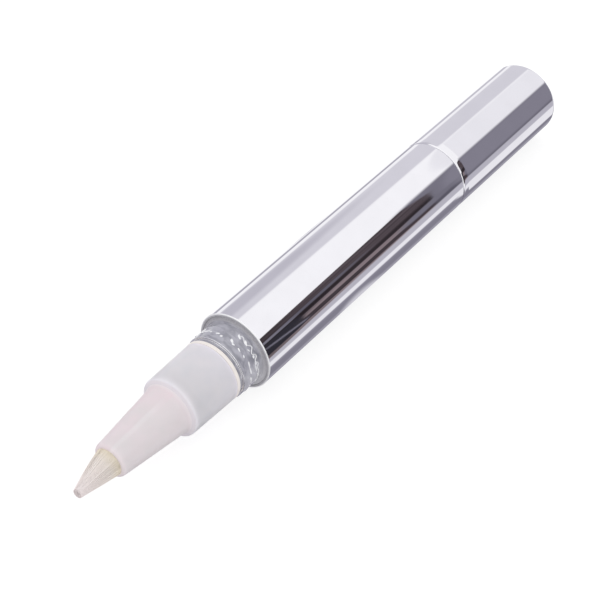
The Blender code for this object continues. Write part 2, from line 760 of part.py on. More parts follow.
def pawl_outline(tip_angle):
    """One arm from its root on the hub to a nose that fills the tooth space before a steep face."""
    pitch = 2 * math.pi / RATCHET_TEETH
    foot = PAWL_HUB_RADIUS - PAWL_HUB_WALL / 2
    inner = PAWL_RADIUS - PAWL_THICKNESS
    root = tip_angle - PAWL_REACH
    nose_start = tip_angle - PAWL_TIP_SHARE * pitch
    nose_rise = TOOTH_DEPTH * PAWL_TIP_SHARE
    swing = [root + (nose_start - root) * step / PAWL_STEPS for step in range(PAWL_STEPS + 1)]
    outline = [(foot, root)]
    outline += [(PAWL_RADIUS, angle) for angle in swing]
    outline += [(PAWL_RADIUS + nose_rise, tip_angle), (inner, tip_angle)]
    inside = [angle for angle in reversed(swing) if angle > root + PAWL_ROOT_ANGLE]
    outline += [(inner, angle) for angle in inside]
    outline += [(inner, root + PAWL_ROOT_ANGLE), (foot, root + PAWL_ROOT_ANGLE)]
    return outline


def build_pawls(rod_plastic, knob):
    outline = [
        (SLEEVE_FRONT, SLEEVE_SOCKET),
        (SLEEVE_FRONT, PAWL_HUB_RADIUS),
        (PAWL_REAR, PAWL_HUB_RADIUS),
        (PAWL_REAR, SLEEVE_SOCKET),
    ]
    pawls = turned("ratchet_pawls", outline, rod_plastic, knob)
    bm = bmesh.new()
    pitch = 2 * math.pi / RATCHET_TEETH
    for index in range(PAWL_COUNT):
        tip_angle = 2 * math.pi * index / PAWL_COUNT + PAWL_TIP_SHARE * pitch
        add_prism(bm, pawl_outline(tip_angle), SLEEVE_FRONT, PAWL_REAR)
    combine(pawls, finish_object("pawl_arms", bm, rod_plastic, knob), "UNION")
    combine(pawls, keyways("pawl_keyways", PAWL_REAR, rod_plastic, knob), "DIFFERENCE")


def keyways(name, rear, material, parent):
    """Cutters for the slots that take the drive sleeve's keys."""
    return sectors(
        name,
        KEY_COUNT,
        SLEEVE_RADIUS - KEY_HEIGHT,
        KEYWAY_RADIUS,
        KEY_HALF_ANGLE + KEY_HALF_ANGLE_GAP,
        SLEEVE_FRONT - OVERRUN,
        rear + OVERRUN,
        material,
        parent,
    )


def build_drive_sleeve(rod_plastic, knob):
    """The sleeve has two outside keys and a bore with two flats, in which the rod slides."""
    outline = [
        (SLEEVE_FRONT, 0),
        (SLEEVE_FRONT, SLEEVE_RADIUS),
        (SLEEVE_REAR, SLEEVE_RADIUS),
        (SLEEVE_REAR, 0),
    ]
    sleeve = turned("drive_sleeve", outline, rod_plastic, knob)
    keys = sectors(
        "sleeve_keys",
        KEY_COUNT,
        SLEEVE_RADIUS - KEY_HEIGHT,
        KEY_RADIUS,
        KEY_HALF_ANGLE,
        SLEEVE_FRONT,
        SLEEVE_REAR,
        rod_plastic,
        knob,
    )
    combine(sleeve, keys, "UNION")
    half_flat = ROD_HALF_FLAT + RUN_GAP
    flat_angle = math.acos(half_flat / SLEEVE_BORE)
    outline = []
    for side in (0, math.pi):
        steps = THREAD_STEPS // 2
        sweep = math.pi - 2 * flat_angle
        angles = [side + flat_angle + sweep * step / steps for step in range(steps + 1)]
        outline += [(SLEEVE_BORE, angle) for angle in angles]
    bm = bmesh.new()
    add_prism(bm, outline, SLEEVE_FRONT - OVERRUN, SLEEVE_REAR + OVERRUN)
    combine(sleeve, finish_object("sleeve_bore", bm, rod_plastic, knob), "DIFFERENCE")


def build_bush(rod_plastic, pen):
    counterbore = SNAP_RING_RADIUS + RUN_GAP
    counterbore_floor = SNAP_RING_FRONT + SNAP_RING_THICKNESS + SEAT_GAP
    outline = [
        (BUSH_FRONT, counterbore),
        (BUSH_FRONT, LINER_RADIUS),
        (BUSH_REAR, LINER_RADIUS),
        (BUSH_REAR, BUSH_BORE),
        (counterbore_floor, BUSH_BORE),
        (counterbore_floor, counterbore),
    ]
    turned("bearing_bush", outline, rod_plastic, pen)


def build_knob_rings(spring_metal, rubber, knob):
    groove_floor = KNOB_SPIGOT_RADIUS - SNAP_GROOVE_DEPTH
    bm = bmesh.new()
    outline = sector_outline(
        groove_floor + FIT_GAP, SNAP_RING_RADIUS, 0, SNAP_RING_HALF_ANGLE, INNER_SIDES
    )
    add_prism(bm, outline, SNAP_RING_FRONT, SNAP_RING_FRONT + SNAP_RING_THICKNESS)
    finish_object("snap_ring", bm, spring_metal, knob)

    middle = BUSH_BORE - FIT_GAP - KNOB_RING_SECTION_RADIUS
    section = ring_outline(BUSH_REAR - KNOB_RING_INSET, middle, KNOB_RING_SECTION_RADIUS)
    turned("knob_o_ring", section, rubber, knob)


def build_knob_core(core_plastic, knob):
    """The core turns in the bush on its spigot, which has grooves for the snap ring and O-ring."""
    spigot_front = PAWL_REAR + SEAT_GAP
    snap_front = SNAP_RING_FRONT - FIT_GAP
    snap_rear = SNAP_RING_FRONT + SNAP_RING_THICKNESS + FIT_GAP
    snap_floor = KNOB_SPIGOT_RADIUS - SNAP_GROOVE_DEPTH
    ring_centre = BUSH_REAR - KNOB_RING_INSET
    ring_half = KNOB_RING_SECTION_RADIUS + FIT_GAP
    ring_floor = BUSH_BORE - 2 * KNOB_RING_SECTION_RADIUS - 2 * FIT_GAP
    waist = LINER_RADIUS - (LINER_RADIUS - SLEEVE_SOCKET) * CORE_WAIST_SHARE
    bore_floor = SLEEVE_REAR + SEAT_GAP
    outline = [
        (spigot_front, SLEEVE_SOCKET),
        (spigot_front, KNOB_SPIGOT_RADIUS),
        (snap_front, KNOB_SPIGOT_RADIUS),
        (snap_front, snap_floor),
        (snap_rear, snap_floor),
        (snap_rear, KNOB_SPIGOT_RADIUS),
        (ring_centre - ring_half, KNOB_SPIGOT_RADIUS),
        (ring_centre - ring_half, ring_floor),
        (ring_centre + ring_half, ring_floor),
        (ring_centre + ring_half, KNOB_SPIGOT_RADIUS),
        (KNOB_FRONT, KNOB_SPIGOT_RADIUS),
        (KNOB_FRONT, LINER_RADIUS),
        (KNOB_FRONT + CORE_LAND, LINER_RADIUS),
        (KNOB_FRONT + CORE_LAND, waist),
        (CORE_REAR - CORE_LAND, waist),
        (CORE_REAR - CORE_LAND, LINER_RADIUS),
        (CORE_REAR, LINER_RADIUS),
        (CORE_REAR, 0),
        (bore_floor, 0),
        (bore_floor, SLEEVE_SOCKET),
    ]
    core = turned("knob_core", outline, core_plastic, knob)
    combine(core, keyways("core_keyways", SLEEVE_REAR, core_plastic, knob), "DIFFERENCE")


def build_knob_shell(metal, knob):
    bore = BARREL_RADIUS - KNOB_SHELL_WALL
    outline = [
        (KNOB_FRONT, bore),
        (KNOB_FRONT, BARREL_RADIUS - BARREL_EDGE),
        (KNOB_FRONT + BARREL_EDGE, BARREL_RADIUS),
    ]
    outline += end_round(KNOB_REAR, BARREL_RADIUS, KNOB_END_ROUND)
    outline += [
        (KNOB_REAR, 0),
        (KNOB_REAR - KNOB_SHELL_WALL, 0),
        (KNOB_REAR - KNOB_SHELL_WALL, bore),
    ]
    turned("knob_shell", outline, metal, knob, ROUND_SIDES)


def build_pen():
    metal = make_material("silver_aluminium", (0.82, 0.81, 0.84), 0.12, metallic=1)
    clear = make_material("clear_plastic", (0.86, 0.87, 0.9), 0.05, transmission=1)
    frosted = make_material("frosted_plastic", (0.7, 0.68, 0.74), 0.45, transmission=0.6)
    translucent = make_material("ferrule_plastic", (0.86, 0.82, 0.84), 0.4, transmission=0.3)
    cream = make_material("cream_seal", (0.93, 0.85, 0.74), 0.5)
    filament = make_material("filament", (0.84, 0.79, 0.74), 0.6)
    plastic = make_material("white_plastic", (0.88, 0.87, 0.86), 0.4)
    tube_plastic = make_material("tube_plastic", (0.9, 0.9, 0.92), 0.3)
    soft_plastic = make_material("piston_plastic", (0.9, 0.9, 0.88), 0.5)
    rubber = make_material("seal_rubber", (0.08, 0.08, 0.09), 0.7)
    rod_plastic = make_material("mechanism_plastic", (0.85, 0.85, 0.82), 0.4)
    spring_metal = make_material("spring_steel", (0.6, 0.6, 0.62), 0.3, metallic=1)
    core_plastic = make_material("core_plastic", (0.75, 0.75, 0.76), 0.5)

    pen = make_empty("pen_axis", location=(-MIDDLE, 0, AXIS_HEIGHT))
    knob = make_empty("knob_turn_axis", pen)
    rod_slider = make_empty("rod_slide_axis", knob)
    piston_slider = make_empty("piston_slide_axis", pen)

    build_barrel(metal, pen)
    build_reservoir(clear, pen)
    build_gasket(cream, pen)
    build_collar(frosted, pen)
    build_ferrule(translucent, pen)
    build_brush(filament, pen)
    build_feed_parts(plastic, tube_plastic, pen)
    build_nut(rod_plastic, pen)
    build_ratchet_ring(rod_plastic, pen)
    build_bush(rod_plastic, pen)
    build_piston(soft_plastic, rubber, piston_slider)
    build_rod(rod_plastic, rod_slider)
    build_pawls(rod_plastic, knob)
    build_drive_sleeve(rod_plastic, knob)
    build_knob_rings(spring_metal, rubber, knob)
    build_knob_core(core_plastic, knob)
    build_knob_shell(metal, knob)


clear_scene()
build_pen()
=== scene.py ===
"""The looks of a twist-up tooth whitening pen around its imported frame: bright metal barrel and
knob, clear neck, frosted collar, tapered ferrule and a tuft of fine bristles, on a white table.

Metres. Stations along the pen are counted from the barrel's front rim, positive to the knob."""

import math

import bmesh
import bpy
from mathutils import Matrix, Vector


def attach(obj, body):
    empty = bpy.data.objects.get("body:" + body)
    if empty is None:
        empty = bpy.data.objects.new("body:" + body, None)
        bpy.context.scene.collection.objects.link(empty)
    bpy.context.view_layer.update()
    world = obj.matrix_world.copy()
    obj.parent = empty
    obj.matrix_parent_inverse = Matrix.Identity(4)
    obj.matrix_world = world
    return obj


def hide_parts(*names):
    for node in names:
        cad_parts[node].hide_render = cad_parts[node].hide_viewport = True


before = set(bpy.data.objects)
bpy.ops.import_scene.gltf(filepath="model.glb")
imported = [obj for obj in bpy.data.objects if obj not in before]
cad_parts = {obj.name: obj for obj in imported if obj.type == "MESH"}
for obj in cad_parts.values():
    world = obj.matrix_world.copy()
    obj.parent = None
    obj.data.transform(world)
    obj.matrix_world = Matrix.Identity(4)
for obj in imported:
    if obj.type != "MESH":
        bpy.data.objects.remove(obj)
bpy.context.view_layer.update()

# The barrel's front rim, and the height of the pen's axis
RIM_X = -0.0243
AXIS_Z = 0.00648

# Fineness of the turned pieces
ROUND_STEPS = 192
SMALL_STEPS = 128
CORNER_STEPS = 5
MERGE = 0.0000002
SHARP = math.radians(32)
SUPPORT = 0.00006

# Roundings that many corners share
HAIR_ROUND = 0.00003
FINE_ROUND = 0.00005
SMALL_ROUND = 0.0001

# Barrel and knob
BARREL_RADIUS = 0.0065
BARREL_BORE = 0.00603
BARREL_LENGTH = 0.05328
BARREL_EDGE = 0.00016
KNOB_FRONT = 0.05344
KNOB_REAR = 0.0835
KNOB_WALL = 0.0004
KNOB_ROUND = 0.0006
KNOB_EDGE = 0.0003
KNOB_DRAW_IN = 0.00005
# Behind the seam: the distance, the share of the draw-in that is left there, and the rounding
KNOB_SWELL = ((0.00065, 0.35, 0.0002), (0.0013, 0.0, 0.00025))

# Clear container, its neck and spigot
LINER_RADIUS = 0.006
CHAMBER_RADIUS = 0.0052
CONTAINER_REAR = 0.044
NECK_RADIUS = 0.00533
NECK_LENGTH = 0.0050
NECK_FILLET = 0.00035
BEAD_STARTS = (-0.00135, -0.00275)
BEAD_HALF = 0.00035
BEAD_HEIGHT = 0.00006
BEAD_FOOT_ROUND = 0.00012
BEAD_TOP_ROUND = 0.00018
GROOVE_LENGTH = 0.0005
GROOVE_DEPTH = 0.00035
GROOVE_ROUND = 0.00008
SPIGOT_RADIUS = 0.0045
SPIGOT_FRONT = -0.0122
BARB_PITCH = 0.00125
BARB_COUNT = 5
BARB_HEIGHT = 0.00022
BARB_ROUND = 0.00004
NECK_BORE = 0.0036
FUNNEL_FRONT = 0.001
FUNNEL_REAR = 0.0022
FUNNEL_ROUNDS = (0.0002, 0.0003)

# Small drops and the wavy line on the neck
PIP_COUNT = 30
PIP_ROWS = 2
PIP_STATION = -0.0015
PIP_PITCH = -0.0015
PIP_RING = 0.00532
PIP_WIDTH = (0.00014, 0.00026)
PIP_LENGTH = (0.00025, 0.0007)
PIP_HEIGHT = 0.0001
PIP_SEED = 4
PIP_ROW_SHIFT = 0.4
PIP_UNEVEN = 0.35
PIP_WANDER = 0.00018
PIP_LEAN = 1.1
PIP_SIDES = 12
PIP_LEVELS = 8
RIPPLE_WAVES = 22
RIPPLE_HEIGHT = 0.0003
RIPPLE_RING = 0.00533
RIPPLE_LINE = 0.00008
RIPPLE_STATION = -0.0012
RIPPLE_STEPS = 384
RIPPLE_SIDES = 8
RIPPLE_SWELLS = 5.0
RIPPLE_BOLD_PARTS = 3.0
RIPPLE_BOLDNESS = (0.55, 0.6)
# The line and the first row of drops sink into the neck on two sides: how far, and where
FOOT_SINK = 0.0005
FOOT_TURN = 2.51

# Nose
GASKET_REAR = -0.00515
GASKET_FRONT = -0.00582
GASKET_RADIUS = 0.0052
GASKET_GAP = 0.0001
GASKET_ROUND = 0.00015
COLLAR_REAR = -0.00585
COLLAR_FRONT = -0.01515
COLLAR_REAR_RADIUS = 0.00517
COLLAR_FRONT_RADIUS = 0.00495
COLLAR_BORE = 0.0046
COLLAR_LIP = 0.0009
COLLAR_ROUND = 0.0003
COLLAR_SLANT = 0.0002
LIP_SLANT = 0.6
LIP_BITE = 0.00003
FERRULE_REAR = -0.0133
FERRULE_FLANGE_FRONT = -0.0141
FERRULE_FRONT = -0.0280
FERRULE_REAR_RADIUS = 0.00412
FERRULE_FRONT_RADIUS = 0.00286
FERRULE_WALL = 0.00066
FERRULE_ROUND = 0.0007
FERRULE_RIDGE_ANGLE = math.radians(-15)
FLANGE_GAP = 0.0001
FILLET_START = 0.00004
FILLET_HEIGHT = 0.00016
FILLET_LENGTH = 0.00036
FILLET_ROUND = 0.0006
BRUSH_ROOT = -0.0276
BRUSH_TIP = -0.0349
BRUSH_ROOT_RADIUS = 0.00236
BRUSH_TIP_RADIUS = 0.00074
BRISTLE_COUNT = 1500
BRISTLE_SEED = 3
BRISTLE_RADIUS = 0.00005
BRISTLE_THINNING = -0.55
BRISTLE_POINTS = 7
BRISTLE_SIDES = 6
BRISTLE_HOLD = 0.0002
BRISTLE_STAGGER = 0.00025
BRISTLE_LEAN = (-0.0004, -0.00022)
BRISTLE_BOW = (-0.03, 0.05)
BRISTLE_EASE = 1.05
BRISTLE_BEND = 1.6
GOLDEN_ANGLE = math.pi * (3 - math.sqrt(5))

# Where finishes and painted light begin and end, from the rim, the axis or a piece's own end; for the ridge,
# angles too
RIM_FACE = (0.0002, 0.00013)
CUT_EDGE = (0.0063, 0.00634)
# Below the axis the container is painted lighter: painted light that offsets the shade under it
CONTAINER_PAINTED_LIGHT_BELOW = (0.002, -0.005)
NECK_BEGINS = (0.0001, 0.0003)
NECK_END_EDGE = (0.00438, 0.00445)
NECK_END = 0.00456
COLLAR_LIP_FACE = (0.00022, 0.00012)
COLLAR_REAR_END = (0.0006, 0.0002)
RIDGE_BEGINS = (0.0165, 0.0195)
RIDGE_WIDTH = (0.04, 0.16)
RIDGE_SHADE = (0.06, 0.16)
# Near the collar the ferrule is painted lighter: painted light against the shade where the two meet
FERRULE_ROOT_PAINTED_LIGHT = (0.0005, 0.0001)
FERRULE_REAR_END = (0.0012, 0.0004)
FERRULE_MOUTH = (0.0007, 0.0002)

# What the plastics share
INNER_GLOW = 0.85
MOTTLE_TONE = 0.93
MOTTLE_ROUGHNESS = (0.85, 1.15)

# Camera, as fitted to the pen's outlines
CAMERA_AT = (-0.1630, -0.11427, 0.17080)
CAMERA_AZIMUTH = math.radians(-53.6)
CAMERA_ELEVATION = math.radians(40.7)
CAMERA_LENS = 98.7
CAMERA_SENSOR = 36

# Table and light
TABLE_HALF = 1.5
TABLE_DROP = 0.00003
PAPER_TONE = 0.90
PAPER_TONE_SEEN = 0.28
PAPER_GLOW = 0.80
STUDIO_STRENGTH = 1.09
LAMP_SIZE = (0.5, 0.35)
LAMP_ENERGY = 0.18
LAMP_AT = (-0.15, 0.25, 0.45)


# Nodes

class Net:
    """A node tree with short calls for its nodes and links."""

    def __init__(self, tree):
        self.tree = tree

    def add(self, kind, inputs=None, **settings):
        """A new node with its settings and inputs."""
        node = self.tree.nodes.new(kind)
        for key, value in settings.items():
            setattr(node, key, value)
        self.fill(node, inputs or {})
        return node

    def fill(self, node, inputs):
        """Gives each named input of a node its value or its link."""
        for key, value in inputs.items():
            self.put(node.inputs[key], value)

    def put(self, socket, value):
        """Gives an input a value, or a link from an output or from a node's first output."""
        if isinstance(value, bpy.types.NodeSocket):
            self.tree.links.new(value, socket)
        elif isinstance(value, bpy.types.Node):
            self.tree.links.new(value.outputs[0], socket)
        else:
            socket.default_value = value

    def math(self, operation, first, second=0.0, third=0.0):
        """The result of an operation on up to three values."""
        node = self.add("ShaderNodeMath", {0: first, 1: second, 2: third}, operation=operation)
        return node.outputs[0]

    def ramp(self, factor, stops):
        """A gradient through (place, colour) stops."""
        node = self.add("ShaderNodeValToRGB", {0: factor})
        bar = node.color_ramp
        while len(bar.elements) < len(stops):
            bar.elements.new(0.5)
        for element, (place, colour) in zip(bar.elements, stops):
            element.position = place
            element.color = (*colour, 1)
        return node.outputs[0]

    def fade(self, value, start, end, low=0.0, high=1.0, kind="LINEAR"):
        """What goes from low to high while the value goes from start to end."""
        inputs = {0: value, 1: start, 2: end, 3: low, 4: high}
        return self.add("ShaderNodeMapRange", inputs, interpolation_type=kind).outputs[0]

    def noise(self, place, scale, detail, distortion=0.0):
        """A cloudy pattern from 0 to 1."""
        inputs = {0: place, "Scale": scale, "Detail": detail, "Distortion": distortion}
        return self.add("ShaderNodeTexNoise", inputs).outputs[0]

    def bump(self, strength, distance, height):
        """A fine relief for a shader's normal."""
        inputs = {"Strength": strength, "Distance": distance, "Height": height}
        return self.add("ShaderNodeBump", inputs).outputs[0]

    def chance(self, low, high, number, seed):
        """A random value between low and high for each number."""
        inputs = {2: low, 3: high, "ID": number, "Seed": seed}
        return self.add("FunctionNodeRandomValue", inputs, data_type="FLOAT").outputs[1]

    def place(self):
        """The place on the piece, in Object coordinates."""
        return self.add("ShaderNodeTexCoord").outputs["Object"]

    def mix(self, factor, first, second, blend="MIX"):
        """The first colour with the second laid over it by the factor."""
        node = self.add("ShaderNodeMix", data_type="RGBA", blend_type=blend)
        self.put(node.inputs[0], factor)
        self.put(node.inputs[6], first)
        self.put(node.inputs[7], second)
        return node.outputs[2]


def linear(level):
    """A display level from 0 to 1 as a light level."""
    return level / 12.92 if level <= 0.04045 else ((level + 0.055) / 1.055) ** 2.4


def shown(red, green, blue):
    """A display colour from 0 to 255 as a light colour."""
    return (linear(red / 255), linear(green / 255), linear(blue / 255))


def even(level):
    """A light colour with the same level in all three parts."""
    return (level, level, level, 1)


def new_material(name):
    """A new material, its net and its shader."""
    material = bpy.data.materials.new(name)
    material.use_nodes = True
    net = Net(material.node_tree)
    shader = material.node_tree.nodes["Principled BSDF"]
    return material, net, shader


def polished_metal():
    """Bright, slightly lilac metal with faint drawing lines along the pen and a duller cut rim, its
    near-white band a painted highlight.
    """
    material, net, shader = new_material("polished_metal")
    place = net.place()
    grain = net.noise(net.add("ShaderNodeMapping", {0: place, 3: (60, 3200, 3200)}), 1.0, 3.0)
    waves = net.noise(place, 260.0, 2.0)
    colour = net.ramp(waves, [(0.35, (0.91, 0.905, 0.93)), (0.65, (0.93, 0.925, 0.95))])
    x, y, z = net.add("ShaderNodeSeparateXYZ", {0: place}).outputs
    up = net.math("SUBTRACT", z, AXIS_Z)
    across = net.math("ADD", net.math("MULTIPLY", y, y), net.math("MULTIPLY", up, up))
    rim = net.fade(x, *(RIM_X + depth for depth in RIM_FACE))
    outer = net.fade(net.math("SQRT", across), *CUT_EDGE)
    cut = net.math("MULTIPLY", rim, net.math("SUBTRACT", 1.0, outer))
    # Painted highlight: the rim band turns near white with less metal, a pale line along the front edge.
    colour = net.mix(rim, colour, (0.97, 0.97, 0.98, 1))
    dull = net.math("MULTIPLY_ADD", rim, -0.6, 1.0)
    rough = net.fade(grain, 0.0, 1.0, 0.018, 0.045)
    finish = {
        "Base Color": net.mix(cut, colour, (*shown(178, 177, 182), 1)),
        "Metallic": net.math("MULTIPLY_ADD", cut, -0.4, dull),
        "Roughness": net.math("MULTIPLY_ADD", rim, 0.35, rough),
        "Normal": net.bump(0.03, 0.00002, waves),
    }
    net.fill(shader, finish)
    return material


def clear_plastic():
    """Clear container: pale grey in itself, painted lighter towards the bottom, and bright where its front
    edge throws the light back.
    """
    material, net, shader = new_material("clear_container_plastic")
    place = net.place()
    along, _, up = net.add("ShaderNodeSeparateXYZ", {0: place}).outputs
    cells = net.noise(net.add("ShaderNodeMapping", {0: place, 3: (1500, 560, 560)}), 1.0, 2.0, 0.4)
    fine = net.noise(place, 4200.0, 2.0)
    # Painted light: towards the bottom the tone goes near white, against the shade that falls there
    low = net.fade(up, *(AXIS_Z + height for height in CONTAINER_PAINTED_LIGHT_BELOW))
    neck = net.fade(along, *(RIM_X - depth for depth in NECK_BEGINS))
    edge = net.fade(along, *(RIM_X - depth for depth in NECK_END_EDGE))
    edge = net.math("MULTIPLY", edge, net.math("GREATER_THAN", along, RIM_X - NECK_END))
    shoulder = net.ramp(fine, [(0.35, shown(172, 170, 176)), (0.65, shown(190, 188, 194))])
    neck_tone = net.ramp(cells, [(0.38, shown(157, 157, 168)), (0.62, shown(188, 187, 199))])
    tone = net.mix(neck, shoulder, neck_tone)
    tone = net.mix(low, tone, (*shown(240, 239, 244), 1))
    finish = {
        "Base Color": net.mix(edge, tone, (0.93, 0.93, 0.95, 1)),
        "Metallic": net.math("MULTIPLY", edge, 0.85),
        "Transmission Weight": 0.2,
        "IOR": 1.5,
        "Roughness": net.fade(neck, 0.0, 1.0, 0.4, 0.14),
        "Normal": net.bump(net.math("MULTIPLY", neck, 0.7), 0.00015, cells),
        "Coat Weight": 0.8,
        "Coat Roughness": 0.06,
    }
    net.fill(shader, finish)
    return material


def glint_plastic():
    """Small clear forms on the neck, coloured near white: painted glints for the light they gather as a lens
    does.
    """
    material, net, shader = new_material("clear_plastic_painted_glints")
    cloud = net.noise(net.place(), 2600.0, 1.0)
    finish = {
        # Painted glints: a near-white base colour with a little metal
        "Base Color": net.ramp(cloud, [(0.35, (0.84, 0.85, 0.88)), (0.65, (0.96, 0.96, 0.97))]),
        "Roughness": net.fade(cloud, 0.0, 1.0, 0.14, 0.3),
        "Metallic": 0.25,
    }
    net.fill(shader, finish)
    return material


def inner_glow(net, *ends):
    """How much light goes into a piece, which is none at its two ends."""
    return net.math("MULTIPLY_ADD", net.math("MAXIMUM", *ends), -INNER_GLOW, INNER_GLOW)


def frosted_plastic():
    """Frosted collar that light goes into, except at its lip and its rear end."""
    material, net, shader = new_material("frosted_collar_plastic")
    place = net.place()
    cloud = net.noise(place, 330.0, 2.0)
    colour = net.ramp(cloud, [(0.35, shown(226, 222, 233)), (0.65, shown(232, 226, 236))])
    along = net.add("ShaderNodeSeparateXYZ", {0: place}).outputs[0]
    front = RIM_X + COLLAR_FRONT
    back = RIM_X + COLLAR_REAR
    lip = net.fade(along, *(front + depth for depth in COLLAR_LIP_FACE))
    rear = net.fade(along, *(back - depth for depth in COLLAR_REAR_END))
    finish = {
        "Base Color": net.mix(lip, colour, (*shown(227, 221, 227), 1)),
        "Roughness": 0.42,
        "Subsurface Weight": inner_glow(net, lip, rear),
        "Subsurface Radius": (1, 1, 1),
        "Subsurface Scale": 0.002,
        "Normal": net.bump(0.1, 0.00002, net.noise(place, 9000.0, 2.0)),
    }
    net.fill(shader, finish)
    return material


def ferrule_plastic():
    """Milky pink cone with a faint ridge along it, which light goes into except at its ends; with painted
    light on it.
    """
    material, net, shader = new_material("ferrule_milky_plastic")
    place = net.place()
    cloud = net.noise(place, 300.0, 2.0)
    colour = net.ramp(cloud, [(0.35, shown(224, 214, 217)), (0.65, shown(230, 215, 220))])
    along, side, up = net.add("ShaderNodeSeparateXYZ", {0: place}).outputs
    turn = net.math("ARCTAN2", side, net.math("SUBTRACT", up, AXIS_Z))
    off = net.math("ABSOLUTE", net.math("SUBTRACT", turn, FERRULE_RIDGE_ANGLE))
    # Painted highlight: a paler line along the ridge, over its real bump
    crest = net.fade(off, *RIDGE_WIDTH, 1.0, 0.0, "SMOOTHSTEP")
    shade = [FERRULE_RIDGE_ANGLE - width for width in RIDGE_SHADE]
    # Painted light: one side of the ridge takes a paler tone
    near_side = net.fade(turn, *shade, 0.0, 0.5, "SMOOTHSTEP")
    ridge = net.math("MULTIPLY", crest, net.fade(along, *(RIM_X - depth for depth in RIDGE_BEGINS)))
    front = RIM_X + COLLAR_FRONT
    mouth = RIM_X + FERRULE_FRONT
    # Painted light: the root by the collar is paler, against the shade where the cone meets the collar
    root = net.fade(along, *(front - depth for depth in FERRULE_ROOT_PAINTED_LIGHT), high=0.7)
    rear = net.fade(along, *(front - depth for depth in FERRULE_REAR_END))
    ahead = net.fade(along, *(mouth + depth for depth in FERRULE_MOUTH))
    colour = net.mix(near_side, colour, (*shown(229, 221, 224), 1))
    colour = net.mix(root, colour, (*shown(233, 226, 229), 1))
    finish = {
        # The ridge's paler colour is painted highlight; its bump is real relief
        "Base Color": net.mix(net.math("MULTIPLY", ridge, 0.45), colour, (*shown(238, 232, 235), 1)),
        "Roughness": 0.38,
        "Subsurface Weight": inner_glow(net, rear, ahead),
        "Subsurface Radius": (1, 0.95, 0.95),
        "Subsurface Scale": 0.0015,
        "Normal": net.bump(0.22, 0.0001, ridge),
    }
    net.fill(shader, finish)
    return material


def plain_plastic(name, colour, roughness, metallic=0.0):
    """A moulded piece inside the pen: a little mottled, with a fine surface."""
    material, net, shader = new_material(name)
    cloud = net.noise(net.place(), 700.0, 3.0)
    darker = tuple(value * MOTTLE_TONE for value in colour)
    rough = [roughness * share for share in MOTTLE_ROUGHNESS]
    finish = {
        "Base Color": net.ramp(cloud, [(0.3, darker), (0.7, colour)]),
        "Metallic": metallic,
        "Roughness": net.fade(cloud, 0.0, 1.0, *rough),
    }
    net.fill(shader, finish)
    return material


def bristle_fibre():
    """Cream at the root, greyer and pinker to the tip."""
    material, net, shader = new_material("bristle_fibre")
    along = net.add("ShaderNodeSeparateXYZ", {0: net.place()}).outputs[0]
    share = net.fade(along, RIM_X + BRUSH_ROOT, RIM_X + BRUSH_TIP)
    stops = [(0.0, shown(240, 230, 208)), (0.3, shown(242, 234, 228)), (1.0, shown(243, 234, 234))]
    tone = net.ramp(share, stops)
    strand = net.add("ShaderNodeAttribute", attribute_name="strand_tone")
    darker = net.mix(1.0, tone, even(0.95), "MULTIPLY")
    finish = {"Base Color": net.mix(strand.outputs["Fac"], darker, tone), "Roughness": 0.45}
    net.fill(shader, finish)
    return material


# Turned pieces

SOCKET_KINDS = {int: "NodeSocketInt", float: "NodeSocketFloat", tuple: "NodeSocketVector"}


def socket(tree, name, kind, default=None, outgoing=False):
    """Adds a named input or output to a tree."""
    made = tree.interface.new_socket(name, in_out="OUTPUT" if outgoing else "INPUT", socket_type=kind)
    if default is not None:
        made.default_value = default
    return made.identifier


def open_tree(name, base, sizes):
    """Geometry Nodes that take a base, named sizes and a finish, and give a mesh."""
    tree = bpy.data.node_groups.new(name, "GeometryNodeTree")
    names = {base: socket(tree, base, "NodeSocketGeometry")}
    for label, size in sizes.items():
        names[label] = socket(tree, label, SOCKET_KINDS[type(size)], size)
    names["Finish"] = socket(tree, "Finish", "NodeSocketMaterial")
    socket(tree, "Mesh", "NodeSocketGeometry", outgoing=True)
    net = Net(tree)
    return tree, names, net, net.add("NodeGroupInput").outputs


def close_tree(net, mesh, finish):
    """Ends a tree with real geometry in its finish."""
    real = net.add("GeometryNodeRealizeInstances", {0: mesh})
    done = net.add("GeometryNodeSetMaterial", {0: real, "Material": finish})
    net.add("NodeGroupOutput", {0: done})


def turning_tree():
    """Geometry Nodes that turn a section, drawn as a line of (radius, station), about the pen."""
    sizes = {
        "Steps": ROUND_STEPS,
        "Track Radius": BARREL_RADIUS,
        "Rim Place": (RIM_X, 0, AXIS_Z),
        "Merge": MERGE,
    }
    tree, names, net, given = open_tree("turn_about_the_pen", "Section", sizes)
    section = net.add("GeometryNodeMeshToCurve", {0: given["Section"]})
    track = net.add("GeometryNodeCurvePrimitiveCircle", {0: given["Steps"], "Radius": given["Track Radius"]})
    upright = net.add("GeometryNodeSetCurveNormal", {0: track.outputs[0]}, mode="Z_UP")
    skin = net.add("GeometryNodeCurveToMesh", {0: upright, 1: section})
    quarter = net.add("GeometryNodeTransform", {0: skin, "Rotation": (0, -math.pi / 2, 0)})
    placed = net.add("GeometryNodeTransform", {0: quarter, "Translation": given["Rim Place"]})
    welded = net.add("GeometryNodeMergeByDistance", {0: placed, "Distance": given["Merge"]})
    close_tree(net, net.add("GeometryNodeSetShadeSmooth", {0: welded}), given["Finish"])
    return tree, names


def freeze(name, worker):
    """The evaluated object as a plain mesh object at the origin; the worker object goes."""
    graph = bpy.context.evaluated_depsgraph_get()
    mesh = bpy.data.meshes.new_from_object(worker.evaluated_get(graph))
    mesh.name = name
    bpy.data.objects.remove(worker)
    piece = bpy.data.objects.new(name, mesh)
    bpy.context.scene.collection.objects.link(piece)
    return piece


